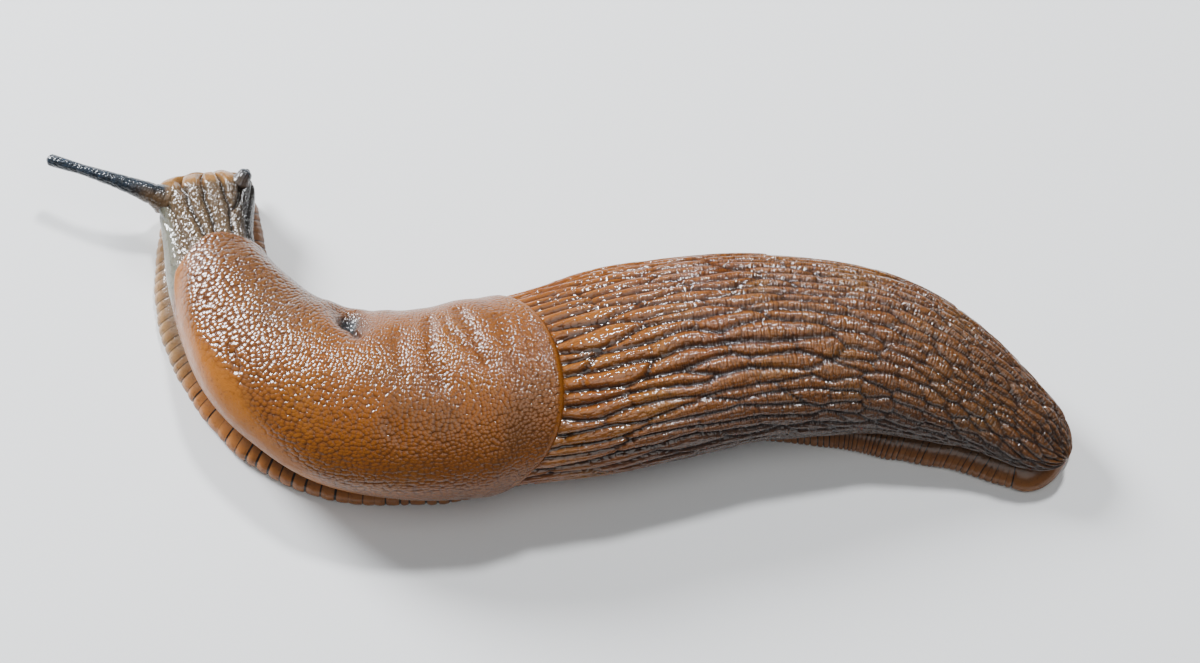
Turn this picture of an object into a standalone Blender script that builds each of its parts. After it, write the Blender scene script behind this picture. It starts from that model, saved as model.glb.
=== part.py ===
# Round-back slug, life size, crawling with its front third turned to one side.
# Metres, +Z up. The tail points to +X and the head to +Y, and the sole lies on Z = 0.
# A station is a length along the spine, from the front of the head to the tip of the tail.
# An angle is measured round the body from the middle of the back, and the animal's right is positive.

import math

import bmesh
import bpy
import numpy as np
from mathutils import Matrix, Vector

MM = 0.001
GAP = 0.3 * MM

# The spine on the floor is a smooth curve through these (x, y) places, in millimetres.
SPINE = (
    (-45.8, 18.0), (-45.0, 12.5), (-43.2, 6.0), (-40.2, -0.4), (-35.6, -6.6), (-29.0, -10.8),
    (-20.5, -12.3), (-9.0, -10.7), (5.0, -7.4), (19.0, -4.9), (31.0, -5.2), (40.9, -9.4), (51.6, -17.1),
)
SPINE_SAMPLES = 1600
SMALL_STEP = 0.2 * MM
SMALL_ANGLE = 0.01

# Sizes along the spine, as (station, size) in millimetres.
HALF_WIDTH = (
    (0, 5.1), (4, 5.5), (9, 5.2), (14, 5.5), (20, 6.7), (28, 8.1), (38, 9.2), (50, 10.2),
    (57, 11.0), (64, 11.9), (74, 11.7), (84, 10.9), (94, 9.8), (104, 7.8), (112, 5.4), (120, 3.6),
)
HEIGHT = (
    (0, 6.2), (4, 6.9), (9, 7.2), (14, 8.0), (20, 9.4), (28, 11.0), (38, 12.2), (50, 13.2),
    (57, 13.9), (64, 14.6), (74, 14.6), (84, 13.8), (94, 12.4), (104, 10.3), (112, 7.8), (120, 5.2),
)
# Sideways slant of the section: how far the sole lies to the left of the back.
LEAN = (
    (0, 0.0), (6, 0.6), (12, 2.0), (20, 2.6), (28, 1.8), (38, 0.5), (46, 0.0), (80, 0.0),
    (92, 0.8), (102, 0.8), (112, 0.3), (120, 0.0),
)
FRINGE_LEFT = (
    (0, 5.2), (6, 6.8), (10, 8.0), (14, 9.4), (20, 10.9), (26, 11.2), (34, 10.7), (44, 9.2),
    (54, 8.2), (80, 8.4), (90, 9.8), (100, 9.9), (110, 7.6), (120, 4.4),
)
FRINGE_RIGHT = (
    (0, 5.2), (6, 5.4), (14, 5.2), (24, 5.8), (34, 7.2), (44, 7.8), (54, 8.2), (80, 8.4),
    (100, 7.4), (110, 5.9), (120, 4.0),
)

FLESH_FLOOR = 2.5 * MM
WIDEST_SHARE = 0.42
UNDERSIDE_SHARE = 0.74
LOWEST_ANGLE = math.pi - math.asin(UNDERSIDE_SHARE)

# Stations where the body is cut across the spine.
HEAD_END = 7.0 * MM
NECK_END = 17.0 * MM
FRONT_END = 52.5 * MM
MIDDLE_END = 82.0 * MM
REAR_END = 106.0 * MM
FOOT_CUTS = (38.0 * MM, 80.0 * MM)

NOSE_LENGTH = 2.6 * MM
NOSE_HEIGHT = 4.2 * MM
TAIL_LENGTH = 5.0 * MM
TAIL_TIP_HEIGHT = 3.4 * MM
ROUND_POWER = 0.8
FIRST_ROUND_ANGLE = math.radians(12)
ROUND_ROWS = 6

# Rings of points in each part of the body, and bands of points round the plain part below the mantle.
HEAD_ROWS = 4
NECK_ROWS = 8
TRUNK_FRONT_ROWS = 16
TRUNK_FRONT_BANDS = 7
TRUNK_MIDDLE_ROWS = 14
TRUNK_REAR_ROWS = 12
TAIL_ROWS = 10

# Long tubercles of the back, in ridges parted by grooves.
RIDGE_COUNT = 16
RIDGE_DEPTH = 0.5 * MM
RIDGE_WANDER = 0.2
RIDGE_WAVE = 17.0 * MM
RIDGE_TWIST = 2.3
TUBERCLE_LENGTH = 7.0 * MM
TAIL_TUBERCLE_LENGTH = 3.6 * MM
TUBERCLE_NOTCH = 0.25 * MM
NOTCH_STAGGER = 0.37
TAIL_RELIEF_SHARE = 0.8
BEHIND_MANTLE = (-1.0 * MM, 1.2 * MM)
RIDGE_FADE_ANGLE = 0.3

# Lobes of the head and neck, parted by furrows.
LOBE_COUNT = 11
FURROW_DEPTH = 0.5 * MM
FURROWED_ANGLE = math.radians(80)
FURROW_FADE_ANGLE = 0.5
LOBE_ENDS = (0.2 * MM, 1.6 * MM)
UNDER_MANTLE = (0.5 * MM, 3.0 * MM)

# Depth of the groove's middle, flank, crest and flank, as shares of the full depth.
GROOVE_PROFILE = (1.0, 0.15, 0.0, 0.15)

# Mantle, a cap that lies over the front of the back.
MANTLE_FRONT = 9.6 * MM
MANTLE_REAR = 60.2 * MM
MANTLE_FRONT_CURVE = 3.6 * MM
MANTLE_REAR_CURVE = 10.0 * MM
# Angle of its side edges from the middle of the back: (station in millimetres, degrees).
MANTLE_LEFT_EDGE = ((9, 26), (13, 36), (18, 49), (22, 63), (26, 78), (31, 92), (40, 99), (60, 100))
MANTLE_RIGHT_EDGE = ((9, 50), (14, 72), (22, 88), (60, 92))
MANTLE_RIM = 0.8 * MM
MANTLE_CROWN = 1.5 * MM
MANTLE_RIM_BULGE = 0.3 * MM
MANTLE_ROWS = 34
MANTLE_COLUMNS = 24
CROWN_POWER = 6
GRANULE_HEIGHT = 0.2 * MM
LOWEST_GRANULE = 0.5
GRANULE_SEED = 5

# Breathing pore in the mantle's right side.
PORE_STATION = 33.0 * MM
PORE_ANGLE = math.radians(52)
PORE_LENGTH = 2.8 * MM
PORE_WIDTH = 1.8 * MM
PORE_DEPTH = 1.0 * MM
PORE_LIP = 0.35 * MM
PORE_SIDES = 16

# Foot, with a fringe all round. Its levels from bottom to top are (inset from the fringe's edge, height,
# share of the cross grooves), in millimetres.
FOOT_LEVELS = ((0.5, 0.0, 0), (0.0, 0.6, 1), (0.3, 1.4, 1), (1.5, 2.2, 0))
FOOT_FRONT = 0.5 * MM
FOOT_ROUND = 3.2 * MM
FOOT_ROUND_POWER = 2.5
FOOT_ROUND_ROWS = 8
FOOT_STEP = 0.8 * MM
FRINGE_GROOVE = 0.28 * MM
FRINGE_GROOVE_EVERY = 3

# Feelers: root station and angle, reach from the root, and radii from root to tip.
UPPER_LEFT_ROOT = (3.7 * MM, math.radians(-74))
UPPER_RIGHT_ROOT = (1.9 * MM, math.radians(64))
UPPER_LEFT_REACH = Vector((-12.8, 4.6, 1.7)) * MM
UPPER_RIGHT_REACH = Vector((0.6, 1.0, 0.1)) * MM
UPPER_RADII = (1.5, 1.15, 1.0, 0.88, 0.78, 0.7, 0.64, 0.62, 0.7, 0.82, 0.8)
WITHDRAWN_RADII = (1.3, 1.08, 0.98, 0.92, 0.88, 0.86, 0.84, 0.83, 0.86, 0.88, 0.78)
LOWER_ROOT_STATION = 0.8 * MM
LOWER_ROOT_ANGLE = math.radians(118)
LOWER_REACH = Vector((0.35, 1.1, -0.8)) * MM
LOWER_RADII = (0.75, 0.62, 0.56, 0.52, 0.5, 0.5, 0.52, 0.55, 0.55, 0.52, 0.45)
FEELER_SIDES = 12
FEELER_BEND = 0.35
TIP_BULGE = 0.5
EYE_RADIUS = 0.45 * MM
EYE_GAP = 0.15 * MM
EYE_SINK = 0.1 * MM
EYE_SIDES = 12

# Lips and mouth at the lower front of the head.
LIP_RADII = Vector((1.7, 1.6, 1.2)) * MM
LIP_SIDEWAYS = 1.5 * MM
LIP_STATION = 0.9 * MM
LIP_CENTRE_HEIGHT = 3.85 * MM
LIP_SIDES = 14
MOUTH_RADIUS = 1.2 * MM
MOUTH_GROOVE = 0.26 * MM
MOUTH_HEIGHT = 3.0 * MM
MOUTH_STATION = -0.4 * MM
MOUTH_DEPTH = 0.95 * MM
MOUTH_TURNS = 20
MOUTH_ROUNDS = 6

# Pit at the top of the tail's end.
TAIL_PIT_STATION_FROM_TIP = 1.9 * MM
TAIL_PIT_RADII = Vector((1.3, 0.9, 1.0)) * MM
TAIL_PIT_SIDES = 12

BROWN = (0.27, 0.085, 0.022)
ORANGE = (0.36, 0.12, 0.028)
TAN = (0.3, 0.2, 0.12)
BLUE_BLACK = (0.03, 0.045, 0.055)
BLACK = (0.005, 0.005, 0.006)
SKIN_ROUGHNESS = 0.35
FRINGE_ROUGHNESS = 0.4
FEELER_ROUGHNESS = 0.3
EYE_ROUGHNESS = 0.1


def clear_scene():
    for thing in list(bpy.data.objects):
        bpy.data.objects.remove(thing)


def flesh_material(name, colour, roughness):
    material = bpy.data.materials.new(name)
    material.use_nodes = True
    shader = material.node_tree.nodes["Principled BSDF"]
    shader.inputs["Base Color"].default_value = (*colour, 1.0)
    shader.inputs["Roughness"].default_value = roughness
    shader.inputs["Metallic"].default_value = 0.0
    return material


def smooth_curve(places, values, at):
    # Cubic through the values, with slopes taken from the neighbours on both sides.
    slopes = np.gradient(values, places)
    at = np.clip(at, places[0], places[-1])
    left = np.clip(np.searchsorted(places, at, side="right") - 1, 0, len(places) - 2)
    width = places[left + 1] - places[left]
    part = (at - places[left]) / width
    square = part * part
    cube = square * part
    start = (2 * cube - 3 * square + 1) * values[left] + (cube - 2 * square + part) * width * slopes[left]
    end = (3 * square - 2 * cube) * values[left + 1] + (cube - square) * width * slopes[left + 1]
    return start + end


def smooth_step(value, low, high):
    part = np.clip((value - low) / (high - low), 0.0, 1.0)
    return part * part * (3 - 2 * part)


def value_at(table, station):
    pairs = np.array(table, dtype=float)
    return smooth_curve(pairs[:, 0] * MM, pairs[:, 1], station)


def size_at(table, station):
    return value_at(table, station) * MM


def sample_spine():
    points = np.array(SPINE) * MM
    chords = np.hypot(*np.diff(points, axis=0).T)
    places = np.concatenate(([0.0], np.cumsum(chords)))
    fine = np.linspace(0.0, places[-1], SPINE_SAMPLES)
    x = smooth_curve(places, points[:, 0], fine)
    y = smooth_curve(places, points[:, 1], fine)
    stations = np.concatenate(([0.0], np.cumsum(np.hypot(np.diff(x), np.diff(y)))))
    return stations, x, y


SPINE_STATIONS, SPINE_X, SPINE_Y = sample_spine()
BODY_LENGTH = SPINE_STATIONS[-1]
SPINE_TURN = np.unwrap(np.arctan2(np.gradient(SPINE_Y), np.gradient(SPINE_X)))


def place_across(station, sideways, height):
    # Point at a station, sideways to the animal's right and up from the floor.
    x = np.interp(station, SPINE_STATIONS, SPINE_X)
    y = np.interp(station, SPINE_STATIONS, SPINE_Y)
    turn = np.interp(station, SPINE_STATIONS, SPINE_TURN)
    beyond = np.minimum(station, 0.0) + np.maximum(station - BODY_LENGTH, 0.0)
    x = x + beyond * np.cos(turn) - sideways * np.sin(turn)
    y = y + beyond * np.sin(turn) + sideways * np.cos(turn)
    return np.stack((x, y, height + 0.0 * x), axis=-1)


def end_share(station):
    # Size of the section as a share, less than 1 only in the rounded nose and tail.
    nose = np.clip(1.0 - station / NOSE_LENGTH, 0.0, 1.0)
    tail = np.clip(1.0 - (BODY_LENGTH - station) / TAIL_LENGTH, 0.0, 1.0)
    return (1.0 - nose * nose) ** (ROUND_POWER / 2) * (1.0 - tail * tail) ** (ROUND_POWER / 2)


def flesh_surface(station, angle):
    # Above its widest line the section is half an ellipse, and below it a second one ends on the underside.
    half_width = size_at(HALF_WIDTH, station)
    top = size_at(HEIGHT, station)
    widest = FLESH_FLOOR + WIDEST_SHARE * (top - FLESH_FLOOR)
    drop = (widest - FLESH_FLOOR) / -math.cos(LOWEST_ANGLE)
    height = widest + np.where(np.cos(angle) > 0, top - widest, drop) * np.cos(angle)
    slant = size_at(LEAN, station) * (top - height) / (top - FLESH_FLOOR)
    share = end_share(station)
    core = np.where(station < BODY_LENGTH / 2, NOSE_HEIGHT, TAIL_TIP_HEIGHT)
    sideways = half_width * np.sin(angle) - slant
    return place_across(station, share * sideways, core + share * (height - core))


def surface_reach(station, angle, step, turn):
    # Length on the skin of a step along the body or a turn round it.
    return np.linalg.norm(flesh_surface(station + step, angle + turn) - flesh_surface(station, angle))


def flesh_normal(station, angle):
    along = flesh_surface(station + SMALL_STEP, angle) - flesh_surface(station - SMALL_STEP, angle)
    around = flesh_surface(station, angle + SMALL_ANGLE) - flesh_surface(station, angle - SMALL_ANGLE)
    normal = np.cross(along, around)
    return normal / np.linalg.norm(normal, axis=-1, keepdims=True)


def mantle_edge(station, side):
    # Angle of the mantle's edge on one side, negative on the left.
    left = -np.radians(value_at(MANTLE_LEFT_EDGE, station))
    right = np.radians(value_at(MANTLE_RIGHT_EDGE, station))
    return np.where(side > 0, right, left)


def mantle_ends(share):
    # Stations of the mantle's front and rear edge, at a share of the way from the back to a side edge.
    return MANTLE_FRONT + MANTLE_FRONT_CURVE * share ** 2, MANTLE_REAR - MANTLE_REAR_CURVE * share ** 2


def back_relief(station, ridge, angle, notch_length):
    # Depth of the grooves between the ridges, and of the notches that part each ridge into tubercles.
    steps = np.rint(ridge * len(GROOVE_PROFILE)).astype(int) % len(GROOVE_PROFILE)
    groove = np.array(GROOVE_PROFILE)[steps]
    wave = np.cos(2 * math.pi * (station / notch_length + NOTCH_STAGGER * np.floor(ridge)))
    notch = TUBERCLE_NOTCH * np.clip(wave, 0.0, 1.0) ** 2 * (1.0 - groove)
    share = np.clip(angle / mantle_edge(np.minimum(station, MANTLE_REAR), angle), 0.0, 1.0)
    rear = mantle_ends(share)[1]
    behind_mantle = smooth_step(station - rear, *BEHIND_MANTLE)
    edge = smooth_step(LOWEST_ANGLE - np.abs(angle), 0.0, RIDGE_FADE_ANGLE)
    return (RIDGE_DEPTH * groove + notch) * behind_mantle * edge


def neck_relief(station, lobe, angle):
    steps = np.rint(lobe * len(GROOVE_PROFILE)).astype(int) % len(GROOVE_PROFILE)
    groove = np.array(GROOVE_PROFILE)[steps]
    before_mantle = 1.0 - smooth_step(station - MANTLE_FRONT, *UNDER_MANTLE)
    behind_face = smooth_step(station, *LOBE_ENDS)
    furrowed = 1.0 - smooth_step(np.abs(angle), FURROWED_ANGLE, FURROWED_ANGLE + FURROW_FADE_ANGLE)
    return FURROW_DEPTH * groove * before_mantle * behind_face * furrowed


def round_stations(end, length, direction, count):
    # Stations through a rounded end, close together at its tip.
    turns = np.linspace(FIRST_ROUND_ANGLE, math.pi / 2, count)
    return end + direction * length * (1.0 - np.cos(turns))


def body_rings(stations, bands, wander, relief):
    # One ring at each station: a row of points from the left lower edge over the back to the right one.
    band = np.arange(bands * len(GROOVE_PROFILE) + 1) / len(GROOVE_PROFILE)
    station, band = np.meshgrid(stations, band, indexing="ij")
    sway = wander * np.sin(2 * math.pi * station / RIDGE_WAVE + RIDGE_TWIST * band)
    sway = sway * np.sin(math.pi * band / bands)
    angle = LOWEST_ANGLE * (2 * (band + sway) / bands - 1.0)
    depth = relief(station, band, angle) * end_share(station)
    return flesh_surface(station, angle) - flesh_normal(station, angle) * depth[..., None]


def mesh_object(name, points, faces, material):
    mesh = bpy.data.meshes.new(name)
    mesh.from_pydata([tuple(point) for point in points], [], faces)
    shape = bmesh.new()
    shape.from_mesh(mesh)
    bmesh.ops.recalc_face_normals(shape, faces=shape.faces)
    shape.to_mesh(mesh)
    shape.free()
    mesh.materials.append(material)
    mesh.shade_smooth()
    thing = bpy.data.objects.new(name, mesh)
    bpy.context.collection.objects.link(thing)
    return thing


def ring_faces(rings, sides):
    # Quads between neighbouring rings, and one flat face over each end.
    faces = []
    for row in range(rings - 1):
        for side in range(sides):
            beside = (side + 1) % sides
            faces.append((row * sides + side, (row + 1) * sides + side,
                          (row + 1) * sides + beside, row * sides + beside))
    faces.append(tuple(range(sides)))
    faces.append(tuple(reversed(range((rings - 1) * sides, rings * sides))))
    return faces


def ring_object(name, rings, material):
    return mesh_object(name, rings.reshape(-1, 3), ring_faces(rings.shape[0], rings.shape[1]), material)


def apply_boolean(thing, other, operation):
    modifier = thing.modifiers.new(operation.title(), "BOOLEAN")
    modifier.operation = operation
    modifier.object = other
    settled = bpy.data.meshes.new_from_object(thing.evaluated_get(bpy.context.evaluated_depsgraph_get()))
    thing.modifiers.clear()
    thing.data = settled
    bpy.data.objects.remove(other)
    keep_largest_piece(thing)


def keep_largest_piece(thing):
    shape = bmesh.new()
    shape.from_mesh(thing.data)
    unseen = set(shape.verts)
    pieces = []
    while unseen:
        piece = set()
        edge = [unseen.pop()]
        while edge:
            vertex = edge.pop()
            piece.add(vertex)
            for link in vertex.link_edges:
                beside = link.other_vert(vertex)
                if beside in unseen:
                    unseen.remove(beside)
                    edge.append(beside)
        pieces.append(piece)
    largest = max(pieces, key=len)
    loose = [vertex for vertex in shape.verts if vertex not in largest]
    bmesh.ops.delete(shape, geom=loose, context="VERTS")
    shape.to_mesh(thing.data)
    shape.free()


def ellipsoid(name, radii, matrix, sides, material):
    shape = bmesh.new()
    bmesh.ops.create_uvsphere(shape, u_segments=sides, v_segments=sides // 2, radius=1.0)
    bmesh.ops.transform(shape, matrix=matrix @ Matrix.Diagonal((*radii, 1.0)), verts=shape.verts)
    mesh = bpy.data.meshes.new(name)
    shape.to_mesh(mesh)
    shape.free()
    mesh.materials.append(material)
    thing = bpy.data.objects.new(name, mesh)
    bpy.context.collection.objects.link(thing)
    return thing


def surface_matrix(station, angle, lift):
    # Axes along the body, round it and out of it, at a point of the flesh.
    point = flesh_surface(station, angle)
    normal = Vector(flesh_normal(station, angle))
    ahead = Vector(flesh_surface(station + SMALL_STEP, angle) - point)
    along = (ahead - ahead.dot(normal) * normal).normalized()
    across = normal.cross(along)
    axes = Matrix((along, across, normal)).transposed().to_4x4()
    axes.translation = Vector(point) + normal * lift
    return axes


def section_matrix(station, sideways, height):
    # Axes along the spine, to the animal's right and up.
    point = Vector(place_across(station, sideways, height))
    turn = float(np.interp(station, SPINE_STATIONS, SPINE_TURN))
    return Matrix.Translation(point) @ Matrix.Rotation(turn, 4, "Z")


def make_head(material):
    nose = round_stations(0.0, NOSE_LENGTH, 1, ROUND_ROWS)
    rest = np.linspace(NOSE_LENGTH, HEAD_END - GAP / 2, HEAD_ROWS)[1:]
    rings = body_rings(np.concatenate((nose, rest)), LOBE_COUNT, 0.0, neck_relief)
    head = ring_object("head", rings, material)
    for side in (-1, 1):
        place = section_matrix(LIP_STATION, side * LIP_SIDEWAYS, LIP_CENTRE_HEIGHT)
        apply_boolean(head, ellipsoid("lip", LIP_RADII, place, LIP_SIDES, material), "UNION")
    apply_boolean(head, mouth_cutter(material), "DIFFERENCE")
    return head


def mouth_cutter(material):
    # A ring across the front of the lips, so that its upper half leaves an arched groove.
    place = section_matrix(MOUTH_STATION, 0.0, MOUTH_HEIGHT)
    turns = np.linspace(0.0, 2 * math.pi, MOUTH_TURNS, endpoint=False)
    rounds = np.linspace(0.0, 2 * math.pi, MOUTH_ROUNDS, endpoint=False)
    turn, part = np.meshgrid(turns, rounds, indexing="ij")
    reach = MOUTH_RADIUS + MOUTH_GROOVE * np.cos(part)
    points = np.stack((MOUTH_DEPTH * np.sin(part), reach * np.cos(turn), reach * np.sin(turn)), axis=-1)
    points = [place @ Vector(point) for point in points.reshape(-1, 3)]
    faces = []
    for row in range(MOUTH_TURNS):
        here = row * MOUTH_ROUNDS
        ahead = (row + 1) % MOUTH_TURNS * MOUTH_ROUNDS
        for side in range(MOUTH_ROUNDS):
            beside = (side + 1) % MOUTH_ROUNDS
            faces.append((here + side, ahead + side, ahead + beside, here + beside))
    return mesh_object("mouth_cutter", points, faces, material)


def make_neck(material):
    stations = np.linspace(HEAD_END + GAP / 2, NECK_END - GAP / 2, NECK_ROWS)
    return ring_object("neck", body_rings(stations, LOBE_COUNT, 0.0, neck_relief), material)


def make_trunk(name, start, end, rows, material):
    stations = np.linspace(start + GAP / 2, end - GAP / 2, rows)

    def relief(station, ridge, angle):
        return back_relief(station, ridge, angle, TUBERCLE_LENGTH)

    return ring_object(name, body_rings(stations, RIDGE_COUNT, RIDGE_WANDER, relief), material)


def make_trunk_front(material):
    stations = np.linspace(NECK_END + GAP / 2, FRONT_END - GAP / 2, TRUNK_FRONT_ROWS)

    def relief(station, band, angle):
        return 0.0 * station

    return ring_object("trunk_front", body_rings(stations, TRUNK_FRONT_BANDS, 0.0, relief), material)


def make_tail(material):
    rest = np.linspace(REAR_END + GAP / 2, BODY_LENGTH - TAIL_LENGTH, TAIL_ROWS)
    tip = round_stations(BODY_LENGTH, TAIL_LENGTH, -1, ROUND_ROWS)[::-1]

    def relief(station, ridge, angle):
        return TAIL_RELIEF_SHARE * back_relief(station, ridge, angle, TAIL_TUBERCLE_LENGTH)

    stations = np.concatenate((rest, tip[1:]))
    tail = ring_object("tail", body_rings(stations, RIDGE_COUNT, RIDGE_WANDER, relief), material)
    place = surface_matrix(BODY_LENGTH - TAIL_PIT_STATION_FROM_TIP, 0.0, 0.0)
    apply_boolean(tail, ellipsoid("tail_pit", TAIL_PIT_RADII, place, TAIL_PIT_SIDES, material), "DIFFERENCE")
    return tail


def mantle_layer(lift):
    # Grid of points over the back, row by row from front to rear, at a height above the flesh.
    rows = np.linspace(0.0, 1.0, MANTLE_ROWS)
    columns = np.linspace(-1.0, 1.0, MANTLE_COLUMNS)
    along, across = np.meshgrid(rows, columns, indexing="ij")
    front, rear = mantle_ends(np.abs(across))
    station = front + (rear - front) * along
    angle = np.abs(across) * mantle_edge(station, across)
    inner = (1.0 - (2 * along - 1) ** CROWN_POWER) * (1.0 - across ** CROWN_POWER)
    return flesh_surface(station, angle) + flesh_normal(station, angle) * lift(inner)[..., None]


def mantle_lift(inner):
    # Height of the mantle's outer face, thicker inside its rim, with alternate points raised as granules.
    chance = np.random.default_rng(GRANULE_SEED).uniform(LOWEST_GRANULE, 1.0, inner.shape)
    rows, columns = np.indices(inner.shape)
    raised = (rows + columns) % 2 * chance * np.minimum(1.0, 2 * inner)
    return GAP + MANTLE_RIM + (MANTLE_CROWN - MANTLE_RIM) * inner + GRANULE_HEIGHT * raised


def border_indices():
    last_row = MANTLE_ROWS - 1
    last_column = MANTLE_COLUMNS - 1
    front = [(0, column) for column in range(last_column)]
    right = [(row, last_column) for row in range(last_row)]
    rear = [(last_row, column) for column in range(last_column, 0, -1)]
    left = [(row, 0) for row in range(last_row, 0, -1)]
    return front + right + rear + left


def rim_points(middle, border):
    # Points that bulge out of the edge halfway between the two faces, away from the nearest point inside.
    rim = []
    for row, column in border:
        inner_row = min(max(row, 1), MANTLE_ROWS - 2)
        inner_column = min(max(column, 1), MANTLE_COLUMNS - 2)
        outward = middle[row, column] - middle[inner_row, inner_column]
        rim.append(middle[row, column] + MANTLE_RIM_BULGE * outward / np.linalg.norm(outward))
    return np.array(rim)


def layer_faces(count):
    # Triangles of both faces, turned alternately so that each granule is a small pyramid.
    faces = []
    for row in range(MANTLE_ROWS - 1):
        for column in range(MANTLE_COLUMNS - 1):
            corner = row * MANTLE_COLUMNS + column
            quad = (corner, corner + MANTLE_COLUMNS, corner + MANTLE_COLUMNS + 1, corner + 1)
            turned = (row + column) % 2
            for part in ((0, 1, 2), (0, 2, 3)):
                triangle = tuple(quad[(index + turned) % 4] for index in part)
                faces.append(triangle)
                faces.append(tuple(count + index for index in reversed(triangle)))
    return faces


def rim_faces(count, border):
    faces = []
    for place, (row, column) in enumerate(border):
        ahead = (place + 1) % len(border)
        here_index = row * MANTLE_COLUMNS + column
        ahead_index = border[ahead][0] * MANTLE_COLUMNS + border[ahead][1]
        faces.append((here_index, ahead_index, 2 * count + ahead, 2 * count + place))
        faces.append((2 * count + place, 2 * count + ahead, count + ahead_index, count + here_index))
    return faces


def make_mantle(material):
    outer = mantle_layer(mantle_lift)
    inner = mantle_layer(lambda inner: GAP + 0.0 * inner)
    border = border_indices()
    rim = rim_points((outer + inner) / 2, border)
    count = MANTLE_ROWS * MANTLE_COLUMNS
    points = np.concatenate((outer.reshape(-1, 3), inner.reshape(-1, 3), rim))
    mantle = mesh_object("mantle", points, layer_faces(count) + rim_faces(count, border), material)
    add_pore(mantle, material)
    return mantle


def add_pore(mantle, material):
    place = surface_matrix(PORE_STATION, PORE_ANGLE, GAP + MANTLE_CROWN)
    lip_radii = (PORE_LENGTH / 2 + PORE_LIP, PORE_WIDTH / 2 + PORE_LIP, 2 * PORE_LIP)
    apply_boolean(mantle, ellipsoid("pore_lip", lip_radii, place, PORE_SIDES, material), "UNION")
    pit_radii = (PORE_LENGTH / 2, PORE_WIDTH / 2, PORE_DEPTH)
    apply_boolean(mantle, ellipsoid("pore_pit", pit_radii, place, PORE_SIDES, material), "DIFFERENCE")


def foot_share(station):
    # Width of the foot as a share, less than 1 only in its rounded ends.
    front = np.clip(1.0 - (station - FOOT_FRONT) / FOOT_ROUND, 0.0, 1.0)
    rear = np.clip(1.0 - (BODY_LENGTH - station) / FOOT_ROUND, 0.0, 1.0)
    power = FOOT_ROUND_POWER
    return ((1.0 - front ** power) * (1.0 - rear ** power)) ** (1.0 / power)


def foot_rings(stations):
    # One ring at each station, from the sole's left edge round over the top to its right edge.
    rings = []
    for index, station in enumerate(stations):
        share = foot_share(station)
        groove = FRINGE_GROOVE * share if index % FRINGE_GROOVE_EVERY == 0 else 0.0
        near_front = max(0.0, 1.0 - (station - FOOT_FRONT) / (2 * FOOT_ROUND))
        near_rear = max(0.0, 1.0 - (BODY_LENGTH - station) / (2 * FOOT_ROUND))
        sides = {}
        for side, table in ((-1, FRINGE_LEFT), (1, FRINGE_RIGHT)):
            row = []
            for inset, height, grooved in FOOT_LEVELS:
                moved = station + inset * MM * (near_front - near_rear)
                reach = share * max(float(size_at(table, station)) - inset * MM, 0.0) - grooved * groove
                row.append(place_across(moved, side * reach, height * MM))
            sides[side] = row
        rings.append(sides[-1] + sides[1][::-1])
    return np.array(rings)


def make_foot(name, start, end, material):
    front_round = round_stations(FOOT_FRONT, FOOT_ROUND, 1, FOOT_ROUND_ROWS)
    rear_round = round_stations(BODY_LENGTH, FOOT_ROUND, -1, FOOT_ROUND_ROWS)[::-1]
    low = front_round[-1] if start is None else start + GAP / 2
    high = rear_round[0] if end is None else end - GAP / 2
    stations = np.linspace(low, high, int(round((high - low) / FOOT_STEP)) + 1)
    if start is None:
        stations = np.concatenate((front_round[:-1], stations))
    if end is None:
        stations = np.concatenate((stations, rear_round[1:]))
    return ring_object(name, foot_rings(stations), material)


def feeler_axis(root, normal, reach, part):
    # Curve that leaves the root along the skin's normal and ends at the reach.
    middle = root + normal * reach.length * FEELER_BEND
    tip = root + reach
    place = (1 - part) ** 2 * root + 2 * part * (1 - part) * middle + part ** 2 * tip
    heading = 2 * (1 - part) * (middle - root) + 2 * part * (tip - middle)
    return place, heading.normalized()


def make_feeler(name, station, angle, reach, radii, material):
    # The first ring lies on the head's skin, and the others stand square to the feeler's curve.
    frame = surface_matrix(station, angle, GAP)
    root = frame.translation.copy()
    normal = frame.col[2].to_3d()
    along = frame.col[0].to_3d()
    turns = np.linspace(0.0, 2 * math.pi, FEELER_SIDES, endpoint=False)
    size = radii[0] * MM
    along_reach = surface_reach(station, angle, SMALL_STEP, 0.0) / SMALL_STEP
    around_reach = surface_reach(station, angle, 0.0, SMALL_ANGLE) / SMALL_ANGLE
    root_stations = station + size * np.cos(turns) / along_reach
    root_angles = angle + size * np.sin(turns) / around_reach
    first = flesh_surface(root_stations, root_angles) + flesh_normal(root_stations, root_angles) * GAP
    points = [root]
    points.extend(Vector(point) for point in first)
    for index, radius in enumerate(radii[1:], start=1):
        place, heading = feeler_axis(root, normal, reach, index / (len(radii) - 1))
        side = (along - along.dot(heading) * heading).normalized()
        other = heading.cross(side)
        for turn in turns:
            points.append(place + radius * MM * (math.cos(turn) * side + math.sin(turn) * other))
    tip, heading = feeler_axis(root, normal, reach, 1.0)
    points.append(tip + heading * radii[-1] * MM * TIP_BULGE)
    return mesh_object(name, points, feeler_faces(len(radii), FEELER_SIDES), material), tip, heading


def feeler_faces(rings, sides):
    faces = []
    for side in range(sides):
        beside = (side + 1) % sides
        faces.append((0, 1 + beside, 1 + side))
        for ring in range(rings - 1):
            low = 1 + ring * sides
            faces.append((low + side, low + beside, low + sides + beside, low + sides + side))
        top = 1 + (rings - 1) * sides
        faces.append((top + side, top + beside, 1 + rings * sides))
    return faces


def add_eye(name, feeler, tip, heading, skin, material):
    centre = Matrix.Translation(tip + heading * EYE_SINK)
    socket_radius = EYE_RADIUS + EYE_GAP
    socket = ellipsoid("eye_socket", (socket_radius,) * 3, centre, EYE_SIDES, skin)
    apply_boolean(feeler, socket, "DIFFERENCE")
    return ellipsoid(name, (EYE_RADIUS,) * 3, centre, EYE_SIDES, material)


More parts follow.
